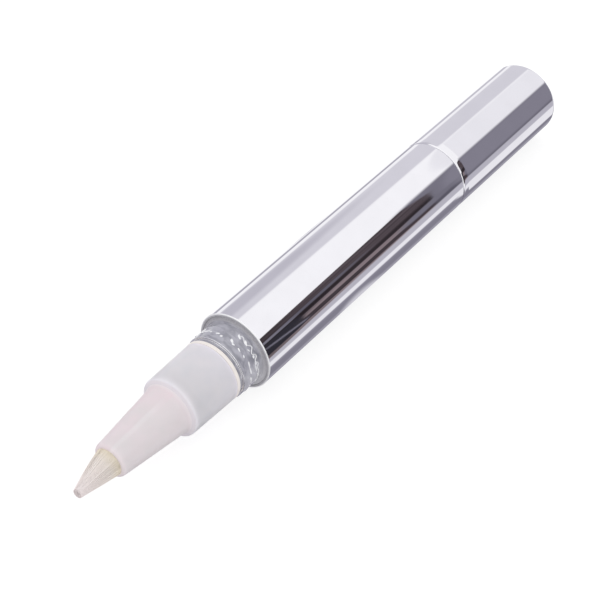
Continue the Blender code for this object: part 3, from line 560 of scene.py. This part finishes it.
def rounded(points):
    """The outline of (station, radius, round) points with each corner rounded by its own size."""
    outline = []
    for index, (station, radius, size) in enumerate(points):
        corner = Vector((station, radius))
        if size <= 0:
            outline.append(corner)
            continue
        before = Vector(points[index - 1][:2]) - corner
        after = Vector(points[(index + 1) % len(points)][:2]) - corner
        start = corner + before.normalized() * size
        end = corner + after.normalized() * size
        for step in range(CORNER_STEPS + 1):
            share = step / CORNER_STEPS
            outline.append(
                start * (1 - share) ** 2 + corner * 2 * share * (1 - share) + end * share**2
            )
    return outline


def supported(outline, closed):
    """The outline with a point close to each end of its long runs, so that these shade straight."""
    points = []
    count = len(outline)
    for index, point in enumerate(outline):
        points.append(point)
        if index == count - 1 and not closed:
            break
        way = outline[(index + 1) % count] - point
        if way.length > 4 * SUPPORT:
            points.append(point + way.normalized() * SUPPORT)
            points.append(point + way - way.normalized() * SUPPORT)
    return points


def turned(name, points, material, closed=True, steps=ROUND_STEPS):
    """A turned piece from its section's (station, radius, round) points, in metres."""
    outline = supported(rounded(points), closed)
    mesh = bpy.data.meshes.new(name + "_section")
    corners = [(radius - BARREL_RADIUS, station, 0) for station, radius in outline]
    count = len(corners)
    edges = [(index, (index + 1) % count) for index in range(count if closed else count - 1)]
    mesh.from_pydata(corners, edges, [])
    worker = bpy.data.objects.new(name + "_section", mesh)
    bpy.context.scene.collection.objects.link(worker)
    modifier = worker.modifiers.new("turn", "NODES")
    modifier.node_group = TURNING[0]
    modifier[TURNING[1]["Steps"]] = steps
    modifier[TURNING[1]["Finish"]] = material
    piece = freeze(name, worker)
    tidy_normals(piece.data)
    return piece


def tidy_normals(mesh):
    """Turns all faces outwards and shades them smooth between sharp edges."""
    bm = bmesh.new()
    bm.from_mesh(mesh)
    bmesh.ops.recalc_face_normals(bm, faces=bm.faces)
    bm.to_mesh(mesh)
    bm.free()
    mesh.shade_smooth()
    mesh.set_sharp_from_angle(angle=SHARP)


def stand_for(piece, body, node):
    """Lets a piece take the place of a node of the frame."""
    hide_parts(node)
    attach(piece, body)


def make_barrel(metal):
    """The straight metal sleeve."""
    edge = BARREL_EDGE
    points = [
        (0, BARREL_BORE, HAIR_ROUND),
        (0, BARREL_RADIUS, edge),
        (BARREL_LENGTH, BARREL_RADIUS, edge),
        (BARREL_LENGTH, BARREL_BORE, edge),
    ]
    stand_for(turned("barrel_metal", points, metal), "barrel", "barrel_sleeve")


def make_knob(metal):
    """The metal cap behind the seam, drawn in a little where it begins and closed at its rear."""
    bore = BARREL_RADIUS - KNOB_WALL
    points = [
        (KNOB_REAR - KNOB_WALL, 0, 0),
        (KNOB_REAR - KNOB_WALL, bore, BARREL_EDGE),
        (KNOB_FRONT, bore, BARREL_EDGE),
        (KNOB_FRONT, BARREL_RADIUS - KNOB_DRAW_IN, KNOB_EDGE),
    ]
    for behind, share, size in KNOB_SWELL:
        points.append((KNOB_FRONT + behind, BARREL_RADIUS - KNOB_DRAW_IN * share, size))
    points += [(KNOB_REAR, BARREL_RADIUS, KNOB_ROUND), (KNOB_REAR, 0, 0)]
    piece = turned("knob_metal", points, metal, closed=False)
    stand_for(piece, "knob", "knob_shell")


def neck_points():
    """The neck from the shoulder forwards: two snap beads, then the groove behind the gasket."""
    points = [
        (0, NECK_RADIUS + NECK_FILLET, NECK_FILLET * 0.8),
        (-NECK_FILLET, NECK_RADIUS, NECK_FILLET * 0.4),
    ]
    for start in BEAD_STARTS:
        points += [
            (start, NECK_RADIUS, BEAD_FOOT_ROUND),
            (start - BEAD_HALF, NECK_RADIUS + BEAD_HEIGHT, BEAD_TOP_ROUND),
            (start - 2 * BEAD_HALF, NECK_RADIUS, BEAD_FOOT_ROUND),
        ]
    groove = GROOVE_LENGTH - NECK_LENGTH
    return points + [
        (groove, NECK_RADIUS, GROOVE_ROUND),
        (groove, NECK_RADIUS - GROOVE_DEPTH, GROOVE_ROUND),
        (-NECK_LENGTH, NECK_RADIUS - GROOVE_DEPTH, FINE_ROUND),
    ]


def make_container(clear):
    """The clear container with its chamber, its neck and the spigot with its barbs."""
    points = [
        (CONTAINER_REAR, CHAMBER_RADIUS, SMALL_ROUND),
        (CONTAINER_REAR, LINER_RADIUS, SMALL_ROUND),
        (0, LINER_RADIUS, SMALL_ROUND),
    ]
    points += neck_points()
    points.append((-NECK_LENGTH, SPIGOT_RADIUS, FINE_ROUND))
    root = SPIGOT_RADIUS - BARB_HEIGHT
    points.append((SPIGOT_FRONT + BARB_COUNT * BARB_PITCH, SPIGOT_RADIUS, 0))
    for index in range(BARB_COUNT, 0, -1):
        station = SPIGOT_FRONT + index * BARB_PITCH
        points.append((station, root, 0))
        points.append((station - BARB_PITCH / 2, SPIGOT_RADIUS, BARB_ROUND))
    points += [
        (SPIGOT_FRONT, root, 0),
        (SPIGOT_FRONT, NECK_BORE, FINE_ROUND),
        (FUNNEL_FRONT, NECK_BORE, FUNNEL_ROUNDS[0]),
        (FUNNEL_REAR, CHAMBER_RADIUS, FUNNEL_ROUNDS[1]),
    ]
    piece = turned("clear_container", points, clear)
    stand_for(piece, "barrel", "reservoir_tube")


def make_gasket(cream):
    """The thin cream ring between neck and collar."""
    hole = SPIGOT_RADIUS + GASKET_GAP
    points = [
        (GASKET_FRONT, hole, FINE_ROUND),
        (GASKET_FRONT, GASKET_RADIUS, GASKET_ROUND),
        (GASKET_REAR, GASKET_RADIUS, GASKET_ROUND),
        (GASKET_REAR, hole, FINE_ROUND),
    ]
    piece = turned("cream_gasket", points, cream, steps=SMALL_STEPS)
    stand_for(piece, "barrel", "neck_gasket")


def make_collar(frosted):
    """The frosted collar, which narrows forwards and closes over the ferrule's flange."""
    lip_hole = FERRULE_REAR_RADIUS - LIP_BITE
    points = [
        (COLLAR_REAR, COLLAR_BORE, FINE_ROUND),
        (COLLAR_REAR, COLLAR_REAR_RADIUS, SMALL_ROUND),
        (COLLAR_FRONT + COLLAR_SLANT, COLLAR_FRONT_RADIUS, COLLAR_ROUND),
        (COLLAR_FRONT - COLLAR_SLANT * LIP_SLANT, lip_hole + FINE_ROUND, FINE_ROUND),
        (COLLAR_FRONT + COLLAR_LIP, lip_hole, FINE_ROUND),
        (COLLAR_FRONT + COLLAR_LIP, COLLAR_BORE, SMALL_ROUND),
    ]
    piece = turned("frosted_collar", points, frosted)
    stand_for(piece, "barrel", "nozzle_collar")


def make_ferrule(milky):
    """The tapered cone with its flange, a small fillet at the collar and a rounded mouth."""
    wall = FERRULE_WALL
    flange = COLLAR_BORE - FLANGE_GAP
    taper = (FERRULE_REAR_RADIUS - FERRULE_FRONT_RADIUS) / (COLLAR_FRONT - FERRULE_FRONT)
    ahead = FERRULE_FRONT_RADIUS - taper * FERRULE_ROUND
    points = [
        (FERRULE_REAR, FERRULE_REAR_RADIUS - wall, FINE_ROUND),
        (FERRULE_REAR, flange, SMALL_ROUND),
        (FERRULE_FLANGE_FRONT, flange, SMALL_ROUND),
        (FERRULE_FLANGE_FRONT, FERRULE_REAR_RADIUS, 0),
        (COLLAR_FRONT - FILLET_START, FERRULE_REAR_RADIUS + FILLET_HEIGHT, HAIR_ROUND),
        (COLLAR_FRONT - FILLET_LENGTH, FERRULE_REAR_RADIUS - taper * FILLET_LENGTH, FILLET_ROUND),
        (FERRULE_FRONT, ahead, FERRULE_ROUND),
        (FERRULE_FRONT, FERRULE_FRONT_RADIUS - wall + HAIR_ROUND, HAIR_ROUND),
        (COLLAR_FRONT, FERRULE_REAR_RADIUS - wall, 0),
    ]
    piece = turned("ferrule_cone", points, milky, steps=SMALL_STEPS)
    stand_for(piece, "barrel", "ferrule")


# Small forms on the neck

def foot_sink(net, turn, shift):
    """How far the small forms sink into the neck, as a loss of radius by the angle about the pen."""
    lift = net.math("COSINE", net.math("MULTIPLY_ADD", turn, 2.0, shift))
    return net.math("MULTIPLY", net.math("MINIMUM", lift, 0.0), FOOT_SINK)


def pip_tree():
    """Geometry Nodes for rows of small long drops round the neck, a little uneven."""
    sizes = {
        "Count": PIP_COUNT,
        "Rows": PIP_ROWS,
        "Row Pitch": PIP_PITCH,
        "First Row": RIM_X + PIP_STATION,
        "Ring Radius": PIP_RING,
        "Axis Height": AXIS_Z,
        "Seed": PIP_SEED,
    }
    tree, names, net, given = open_tree("neck_pips", "Base", sizes)
    total = net.math("MULTIPLY", given["Count"], given["Rows"])
    points = net.add("GeometryNodePoints", {"Count": total})
    index = net.add("GeometryNodeInputIndex").outputs[0]

    def chance(low, high, shift):
        return net.chance(low, high, index, net.math("ADD", given["Seed"], shift))

    row = net.math("FLOOR", net.math("DIVIDE", index, given["Count"]))
    step = net.math("ADD", index, net.math("MULTIPLY", row, PIP_ROW_SHIFT))
    step = net.math("ADD", step, chance(-PIP_UNEVEN, PIP_UNEVEN, 1))
    turn = net.math("MULTIPLY", net.math("DIVIDE", step, given["Count"]), 2 * math.pi)
    station = net.math("MULTIPLY_ADD", row, given["Row Pitch"], given["First Row"])
    station = net.math("ADD", station, chance(-PIP_WANDER, PIP_WANDER, 2))
    sink = net.math("MULTIPLY", foot_sink(net, turn, -FOOT_TURN), net.math("SUBTRACT", 1.0, row))
    ring = net.math("ADD", given["Ring Radius"], sink)
    place = net.add(
        "ShaderNodeCombineXYZ",
        {
            0: station,
            1: net.math("MULTIPLY", net.math("SINE", turn), net.math("MULTIPLY", ring, -1.0)),
            2: net.math("MULTIPLY_ADD", net.math("COSINE", turn), ring, given["Axis Height"]),
        },
    )
    laid = net.add("GeometryNodeSetPosition", {0: points, "Position": place})
    facets = {"Segments": PIP_SIDES, "Rings": PIP_LEVELS, "Radius": 1.0}
    drop = net.add("GeometryNodeMeshUVSphere", facets)
    lean = net.add("ShaderNodeCombineXYZ", {0: turn, 2: chance(-PIP_LEAN, PIP_LEAN, 3)})
    size = net.add(
        "ShaderNodeCombineXYZ",
        {0: chance(*PIP_WIDTH, 4), 1: chance(*PIP_LENGTH, 5), 2: PIP_HEIGHT},
    )
    copies = net.add(
        "GeometryNodeInstanceOnPoints",
        {0: laid, "Instance": drop.outputs[0], "Rotation": lean, "Scale": size},
    )
    close_tree(net, copies, given["Finish"])
    return tree, names


def ripple_tree():
    """Geometry Nodes for the thin wavy line round the foot of the neck, in its near-white finish a painted
    highlight.
    """
    sizes = {
        "Steps": RIPPLE_STEPS,
        "Waves": RIPPLE_WAVES,
        "Wave Height": RIPPLE_HEIGHT,
        "Ring Radius": RIPPLE_RING,
        "Line Radius": RIPPLE_LINE,
        "Station": RIM_X + RIPPLE_STATION,
        "Axis Height": AXIS_Z,
    }
    tree, names, net, given = open_tree("neck_foot_painted_highlight_line", "Base", sizes)
    ring = net.add("GeometryNodeCurvePrimitiveCircle", {0: given["Steps"], "Radius": 1.0})
    share = net.add("GeometryNodeSplineParameter").outputs["Factor"]
    turn = net.math("MULTIPLY", share, 2 * math.pi)
    swell = net.math("SINE", net.math("MULTIPLY", turn, RIPPLE_SWELLS))
    wave = net.math("SINE", net.math("MULTIPLY_ADD", turn, given["Waves"], swell))
    bold = net.math("COSINE", net.math("MULTIPLY_ADD", turn, RIPPLE_BOLD_PARTS, FOOT_TURN))
    wave = net.math("MULTIPLY", wave, net.math("MULTIPLY_ADD", bold, *RIPPLE_BOLDNESS))
    reach = net.math("ADD", given["Ring Radius"], foot_sink(net, turn, FOOT_TURN))
    place = net.add(
        "ShaderNodeCombineXYZ",
        {
            0: net.math("MULTIPLY_ADD", wave, given["Wave Height"], given["Station"]),
            1: net.math("MULTIPLY", net.math("SINE", turn), reach),
            2: net.math("MULTIPLY_ADD", net.math("COSINE", turn), reach, given["Axis Height"]),
        },
    )
    laid = net.add("GeometryNodeSetPosition", {0: ring, "Position": place})
    line = net.add("GeometryNodeCurvePrimitiveCircle", {0: RIPPLE_SIDES, "Radius": given["Line Radius"]})
    close_tree(net, net.add("GeometryNodeCurveToMesh", {0: laid, 1: line}), given["Finish"])
    return tree, names


def grown(name, tree, names, material):
    """The mesh that a tree grows by itself."""
    worker = bpy.data.objects.new(name + "_base", bpy.data.meshes.new(name + "_base"))
    bpy.context.scene.collection.objects.link(worker)
    modifier = worker.modifiers.new(name, "NODES")
    modifier.node_group = tree
    modifier[names["Finish"]] = material
    piece = freeze(name, worker)
    tidy_normals(piece.data)
    return piece


def make_neck_details(glint):
    """The drops and the wavy line, which have no node of their own in the frame."""
    # Both take the finish with painted glints.
    for name, made in (("neck_pips", pip_tree()), ("neck_foot_painted_highlight_line", ripple_tree())):
        piece = grown(name, *made, glint)
        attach(piece, "barrel")


# Bristles

def bristle_tree():
    """Geometry Nodes for the tuft: fine tapered strands on a sunflower spiral."""
    sizes = {
        "Count": BRISTLE_COUNT,
        "Seed": BRISTLE_SEED,
        "Root": RIM_X + BRUSH_ROOT + BRISTLE_HOLD,
        "Tip": RIM_X + BRUSH_TIP,
        "Root Radius": BRUSH_ROOT_RADIUS,
        "Tip Radius": BRUSH_TIP_RADIUS,
        "Strand Radius": BRISTLE_RADIUS,
        "Stagger": BRISTLE_STAGGER,
        "Lean Sideways": BRISTLE_LEAN[0],
        "Lean Down": BRISTLE_LEAN[1],
        "Axis Height": AXIS_Z,
    }
    tree, names, net, given = open_tree("bristle_tuft", "Base", sizes)
    line = net.add("GeometryNodeCurvePrimitiveLine", {"End": (1, 0, 0)})
    fine = net.add("GeometryNodeResampleCurve", {0: line, "Count": BRISTLE_POINTS}, mode="COUNT")
    points = net.add("GeometryNodePoints", {"Count": given["Count"]})
    copies = net.add("GeometryNodeInstanceOnPoints", {0: points, "Instance": fine.outputs[0]})
    index = net.add("GeometryNodeInputIndex")
    numbered = net.add(
        "GeometryNodeStoreNamedAttribute",
        {0: copies, "Name": "strand_number", "Value": index},
        data_type="FLOAT",
        domain="INSTANCE",
    )
    strands = net.add("GeometryNodeRealizeInstances", {0: numbered})
    number = net.add("GeometryNodeInputNamedAttribute", {"Name": "strand_number"}, data_type="FLOAT")
    number = number.outputs[0]
    along = net.add("GeometryNodeSplineParameter").outputs["Factor"]

    def chance(low, high, shift):
        whole = net.add("FunctionNodeFloatToInt", {0: number})
        return net.chance(low, high, whole, net.math("ADD", given["Seed"], shift))

    share = net.math("DIVIDE", net.math("ADD", number, 0.5), given["Count"])
    turn = net.math("MULTIPLY", number, GOLDEN_ANGLE)
    ease = net.math("POWER", along, BRISTLE_EASE)
    radius = net.fade(ease, 0.0, 1.0, given["Root Radius"], given["Tip Radius"])
    arch = net.math("SINE", net.math("MULTIPLY", along, math.pi))
    bow = net.math("MULTIPLY", arch, chance(*BRISTLE_BOW, 1))
    distance = net.math("MULTIPLY", radius, net.math("ADD", net.math("SQRT", share), bow))
    end = net.math("ADD", given["Tip"], net.math("MULTIPLY", given["Stagger"], chance(0.0, 1.0, 5)))
    across = net.math("MULTIPLY", distance, net.math("COSINE", turn))
    upward = net.math("MULTIPLY_ADD", distance, net.math("SINE", turn), given["Axis Height"])
    bend = net.math("POWER", along, BRISTLE_BEND)
    place = net.add(
        "ShaderNodeCombineXYZ",
        {
            0: net.fade(along, 0.0, 1.0, given["Root"], end),
            1: net.math("MULTIPLY_ADD", bend, given["Lean Sideways"], across),
            2: net.math("MULTIPLY_ADD", bend, given["Lean Down"], upward),
        },
    )
    laid = net.add("GeometryNodeSetPosition", {0: strands, "Position": place})
    tone = net.add(
        "GeometryNodeStoreNamedAttribute",
        {0: laid, "Name": "strand_tone", "Value": chance(0.0, 1.0, 9)},
        data_type="FLOAT",
        domain="POINT",
    )
    thin = net.math("MULTIPLY_ADD", along, BRISTLE_THINNING, 1.0)
    thin = net.math("MULTIPLY", given["Strand Radius"], thin)
    sized = net.add("GeometryNodeSetCurveRadius", {0: tone, "Radius": thin})
    circle = net.add("GeometryNodeCurvePrimitiveCircle", {0: BRISTLE_SIDES, "Radius": 1.0})
    inputs = {0: sized, 1: circle, "Scale": net.add("GeometryNodeInputRadius"), "Fill Caps": True}
    skin = net.add("GeometryNodeCurveToMesh", inputs)
    close_tree(net, skin, given["Finish"])
    return tree, names


def make_bristles(fibre):
    """The tuft, as one piece."""
    stand_for(grown("bristle_tuft", *bristle_tree(), fibre), "barrel", "brush")


# Table, light and camera

def make_table():
    """A white table that catches a soft shadow and isn't mirrored."""
    half = TABLE_HALF
    mesh = bpy.data.meshes.new("table")
    corners = [(-half, -half, 0), (half, -half, 0), (half, half, 0), (-half, half, 0)]
    mesh.from_pydata(corners, [], [(0, 1, 2, 3)])
    table = bpy.data.objects.new("table", mesh)
    table.location = (0, 0, -TABLE_DROP)
    bpy.context.scene.collection.objects.link(table)
    material, net, shader = new_material("white_table")
    seen = net.add("ShaderNodeLightPath").outputs["Is Camera Ray"]
    finish = {
        "Base Color": net.mix(seen, even(PAPER_TONE), even(PAPER_TONE_SEEN)),
        "Roughness": 0.8,
        "Specular IOR Level": 0.0,
        "Emission Color": even(1),
        "Emission Strength": net.math("MULTIPLY", seen, PAPER_GLOW),
    }
    net.fill(shader, finish)
    mesh.materials.append(material)
    table.visible_glossy = False


# The studio that the metal mirrors is a pale room with panels hung one before the other. Each has
# its extent along the pen, as the mirrored direction's share of the pen's axis from -1 to 1, the
# rounding of its ends, its angles about the pen at the upper end of that extent (0 looks to the
# near side, 90 up), its slope in degrees for each unit of extent, its softness and one grey tone.
# The knob mirrors what lies past 0.70.
ROOM_TONE = 0.95
WHOLE = (-1.40, 1.40)
FRONT = (-1.40, 0.45)
KNOB_END = (0.695, 1.40)
ROOM_PANELS = {
    "far_wall": (WHOLE, 0.10, (112, 174), 0, 0.15, 0.81),
    "ceiling": (WHOLE, 0.10, (46, 112), 0, 0.15, 0.95),
    "near_side": (WHOLE, 0.10, (-21, 45), 0, 0.15, 0.46),
    "near_dark": (WHOLE, 0.10, (-18, -3), 0, 0.50, 0.35),
    "near_slope": (WHOLE, 0.10, (-40, -19), 0, 0.30, 0.70),
    "near_table": (WHOLE, 0.10, (-52, -37), 0, 0.35, 0.90),
    "shadow": (WHOLE, 0.10, (-124, -52), 0, 0.06, 0.60),
    "deep_shadow": (WHOLE, 0.10, (-88, -56), 0, 0.40, 0.50),
    "far_table": (WHOLE, 0.10, (-156, -124.5), 0, 0.12, 0.97),
    "far_edge": (WHOLE, 0.10, (-170, -156), 0, 0.40, 0.65),
    "knob_ceiling": (KNOB_END, 0.01, (46, 110), 0, 0.15, 0.90),
    "knob_near_side": (KNOB_END, 0.01, (-14, 42), 0, 0.30, 0.50),
    "knob_table": (KNOB_END, 0.01, (-69, -40), 0, 0.20, 0.90),
    "knob_far_edge": (KNOB_END, 0.01, (-172, -158), 0, 0.40, 0.75),
    "front_bench": (FRONT, 0.10, (-500, 500), 0, 0.12, 0.63),
    "front_wall": (FRONT, 0.10, (-34, 136), 0, 0.12, 0.98),
    "front_shade": (FRONT, 0.10, (-112, -36), 0, 0.12, 0.42),
    "far_shade": ((-1.40, 0.655), 0.08, (134, 172), 0, 0.40, 0.73),
    "low_glint": ((0.622, 0.645), 0.0115, (-146, -76), 0, 0.50, 0.78),
    "bright_wall": ((-0.25, 0.672), 0.030, (18, 100), 0, 0.30, 0.95),
}
# A dark cloth flag hangs before the room. Its outline is what these two strips share.
FLAG_OUTLINE = (
    ((-0.25, 0.6873), 0.0018, (-17.5, 43.7), 78, 0.02),
    ((-0.25, 0.75), 0.001, (-270, -37.5), -1040, 0.012),
)
FLAG_TONE = 0.26
FLAG_WARMTH = (1.0, 0.84, 0.74, 1)
FLAG_FOLDS = {
    "lower_edge": (WHOLE, 0.10, (-30, -16), 0, 0.15, 0.50),
    "light_fold": (WHOLE, 0.10, (-4.5, 4.5), 0, 0.45, 0.50),
    "deep_fold": (WHOLE, 0.10, (6, 15), 0, 0.40, 0.18),
    "upper_part": (WHOLE, 0.10, (17, 60), 0, 0.10, 0.30),
}
FLAG_CREASES = {
    "flag_fade": ((0.667, 0.70), 0.012, (-8, 6), 0, 0.45, 0.44),
    "front_dark": ((-0.25, 0.6065), 0.006, (-17.3, 13), 0, 0.10, 0.18),
    "first_crease": ((0.578, 0.6065), 0.006, (15.3, 21.3), 0, 0.50, 0.47),
    "long_crease": ((0.596, 0.645), 0.022, (16.0, 22.5), 0, 0.60, 0.37),
    "low_crease": ((0.581, 0.608), 0.005, (-14.5, -9.5), -580, 0.50, 0.43),
}
# Fine creases in the cloth, which is darker at the pen's front end
CREASE_STRETCH = 14.0
CREASE_LEVELS = (0.3, 0.75, 0.75, 1.4)
FRONT_DARKENS = (0.59, 0.625, 0.65, 1.0)
# Where all panels would meet in a point, one even colour takes over
POLE_REACH = (0.93, 0.998)
POLE_COLOUR = (0.62, 0.61, 0.66, 1)


def tinted(tone):
    """A grey tone as a light colour, slightly lilac in the middle tones."""
    lilac = tone * (1 - tone)
    return (linear(tone), linear(tone - 0.04 * lilac), linear(tone + 0.15 * lilac), 1)


def panel(net, lean, angle, extent, round_end, angles, slope, softness):
    """Where the mirrored direction meets a panel with rounded ends, as a share from 0 to 1."""
    middle = (extent[0] + extent[1]) / 2
    straight = (extent[1] - extent[0]) / 2 - round_end
    centre = (angles[0] + angles[1]) / 2
    half = (angles[1] - angles[0]) / 2
    fall = net.math("MULTIPLY", net.math("SUBTRACT", lean, extent[1]), float(slope))
    angle = net.math("SUBTRACT", angle, fall)
    off = net.math("ABSOLUTE", net.math("SUBTRACT", lean, middle))
    past = net.math("MAXIMUM", net.math("SUBTRACT", off, straight), 0.0)
    across = net.math("DIVIDE", net.math("SUBTRACT", angle, centre), half)
    end = net.math("DIVIDE", past, round_end)
    total = net.math("ADD", net.math("POWER", end, 2.0), net.math("MULTIPLY", across, across))
    return net.fade(net.math("SQRT", total), 1 - softness, 1 + softness, 1.0, 0.0, "SMOOTHSTEP")


def hang(net, lean, angle, behind, panels):
    """What lies behind with each panel hung before it in turn."""
    for *shape, tone in panels.values():
        behind = net.mix(panel(net, lean, angle, *shape), behind, tinted(tone))
    return behind


def make_world():
    """White to the eye and as light, with the studio's panels where a surface mirrors."""
    world = bpy.data.worlds.new("studio")
    bpy.context.scene.world = world
    world.use_nodes = True
    net = Net(world.node_tree)
    world.node_tree.nodes.clear()
    way = net.add("ShaderNodeTexCoord").outputs["Generated"]
    lean, side, height = net.add("ShaderNodeSeparateXYZ", {0: way}).outputs
    turn = net.math("ARCTAN2", height, net.math("MULTIPLY", side, -1.0))
    angle = net.math("DEGREES", turn)
    studio = hang(net, lean, angle, tinted(ROOM_TONE), ROOM_PANELS)
    stretched = net.math("MULTIPLY", lean, CREASE_STRETCH)
    places = net.add("ShaderNodeCombineXYZ", {0: stretched, 1: angle})
    creases = net.add("ShaderNodeMapping", {0: places, 2: (0, 0, 0.25), 3: (1, 0.22, 1)})
    crease = net.fade(net.noise(creases, 1.0, 2.0), *CREASE_LEVELS)
    folds = net.math("MULTIPLY", crease, net.fade(lean, *FRONT_DARKENS))
    flag = hang(net, lean, angle, tinted(FLAG_TONE), FLAG_FOLDS)
    flag = net.mix(1.0, net.mix(1.0, flag, FLAG_WARMTH, "MULTIPLY"), folds, "MULTIPLY")
    strips = [panel(net, lean, angle, *strip) for strip in FLAG_OUTLINE]
    studio = net.mix(net.math("MULTIPLY", *strips), studio, flag)
    studio = hang(net, lean, angle, studio, FLAG_CREASES)
    pole = net.fade(net.math("ABSOLUTE", lean), *POLE_REACH, kind="SMOOTHSTEP")
    studio = net.mix(pole, studio, POLE_COLOUR)
    path = net.add("ShaderNodeLightPath").outputs
    white = net.add("ShaderNodeBackground", {0: even(1), 1: 1.0})
    bands = net.add("ShaderNodeBackground", {0: studio, 1: STUDIO_STRENGTH})
    seen = net.math("MAXIMUM", path["Is Camera Ray"], path["Is Transmission Ray"])
    first = net.add("ShaderNodeMixShader", {0: path["Is Glossy Ray"], 1: white, 2: bands})
    second = net.add("ShaderNodeMixShader", {0: seen, 1: first, 2: white})
    net.add("ShaderNodeOutputWorld", {0: second})


def make_lights():
    """One soft lamp above the pen, which the metal doesn't mirror."""
    light = bpy.data.lights.new("overhead_panel", "AREA")
    light.shape = "RECTANGLE"
    light.size, light.size_y = LAMP_SIZE
    light.energy = LAMP_ENERGY
    lamp = bpy.data.objects.new("overhead_panel", light)
    lamp.location = LAMP_AT
    aim = Vector((0, 0, 0)) - lamp.location
    lamp.rotation_euler = aim.to_track_quat("-Z", "Y").to_euler()
    lamp.visible_glossy = False
    bpy.context.scene.collection.objects.link(lamp)


def make_camera():
    """The camera at the photograph's point of view."""
    data = bpy.data.cameras.new("camera")
    data.lens = CAMERA_LENS
    data.sensor_width = CAMERA_SENSOR
    data.clip_start = 0.01
    data.clip_end = 10
    camera = bpy.data.objects.new("camera", data)
    bpy.context.scene.collection.objects.link(camera)
    look = Vector(
        (
            -math.sin(CAMERA_AZIMUTH) * math.cos(CAMERA_ELEVATION),
            math.cos(CAMERA_AZIMUTH) * math.cos(CAMERA_ELEVATION),
            -math.sin(CAMERA_ELEVATION),
        )
    )
    camera.matrix_world = Matrix.Translation(CAMERA_AT) @ look.to_track_quat("-Z", "Y").to_matrix().to_4x4()
    bpy.context.scene.camera = camera


def dress_inner_nodes():
    """The pieces inside keep their own meshes and get a finish for their plastic, rubber or steel."""
    white = plain_plastic("white_moulded_plastic", shown(236, 234, 232), 0.4)
    natural = plain_plastic("natural_moulded_plastic", shown(232, 231, 224), 0.42)
    soft = plain_plastic("soft_piston_plastic", shown(238, 238, 232), 0.5)
    rubber = plain_plastic("black_seal_rubber", shown(46, 46, 50), 0.65)
    steel = plain_plastic("spring_ring_steel", shown(188, 188, 192), 0.28, metallic=1.0)
    core = plain_plastic("grey_core_plastic", shown(210, 210, 212), 0.45)
    finishes = {
        "brush_plug": white,
        "nozzle_insert": white,
        "feed_tube": white,
        "drive_nut": natural,
        "ratchet_ring": natural,
        "bearing_bush": natural,
        "screw_rod": natural,
        "ratchet_pawls": natural,
        "drive_sleeve": natural,
        "piston": soft,
        "piston_ring_front": rubber,
        "piston_ring_rear": rubber,
        "knob_o_ring": rubber,
        "snap_ring": steel,
        "knob_core": core,
    }
    for node, material in finishes.items():
        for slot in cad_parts[node].material_slots:
            slot.material = material


TURNING = turning_tree()
METAL = polished_metal()
make_barrel(METAL)
make_knob(METAL)
make_container(clear_plastic())
make_neck_details(glint_plastic())
make_gasket(plain_plastic("cream_gasket_plastic", shown(243, 236, 232), 0.4))
make_collar(frosted_plastic())
make_ferrule(ferrule_plastic())
make_bristles(bristle_fibre())
dress_inner_nodes()
make_table()
make_world()
make_lights()
make_camera()
bpy.context.scene.view_settings.view_transform = "Standard"
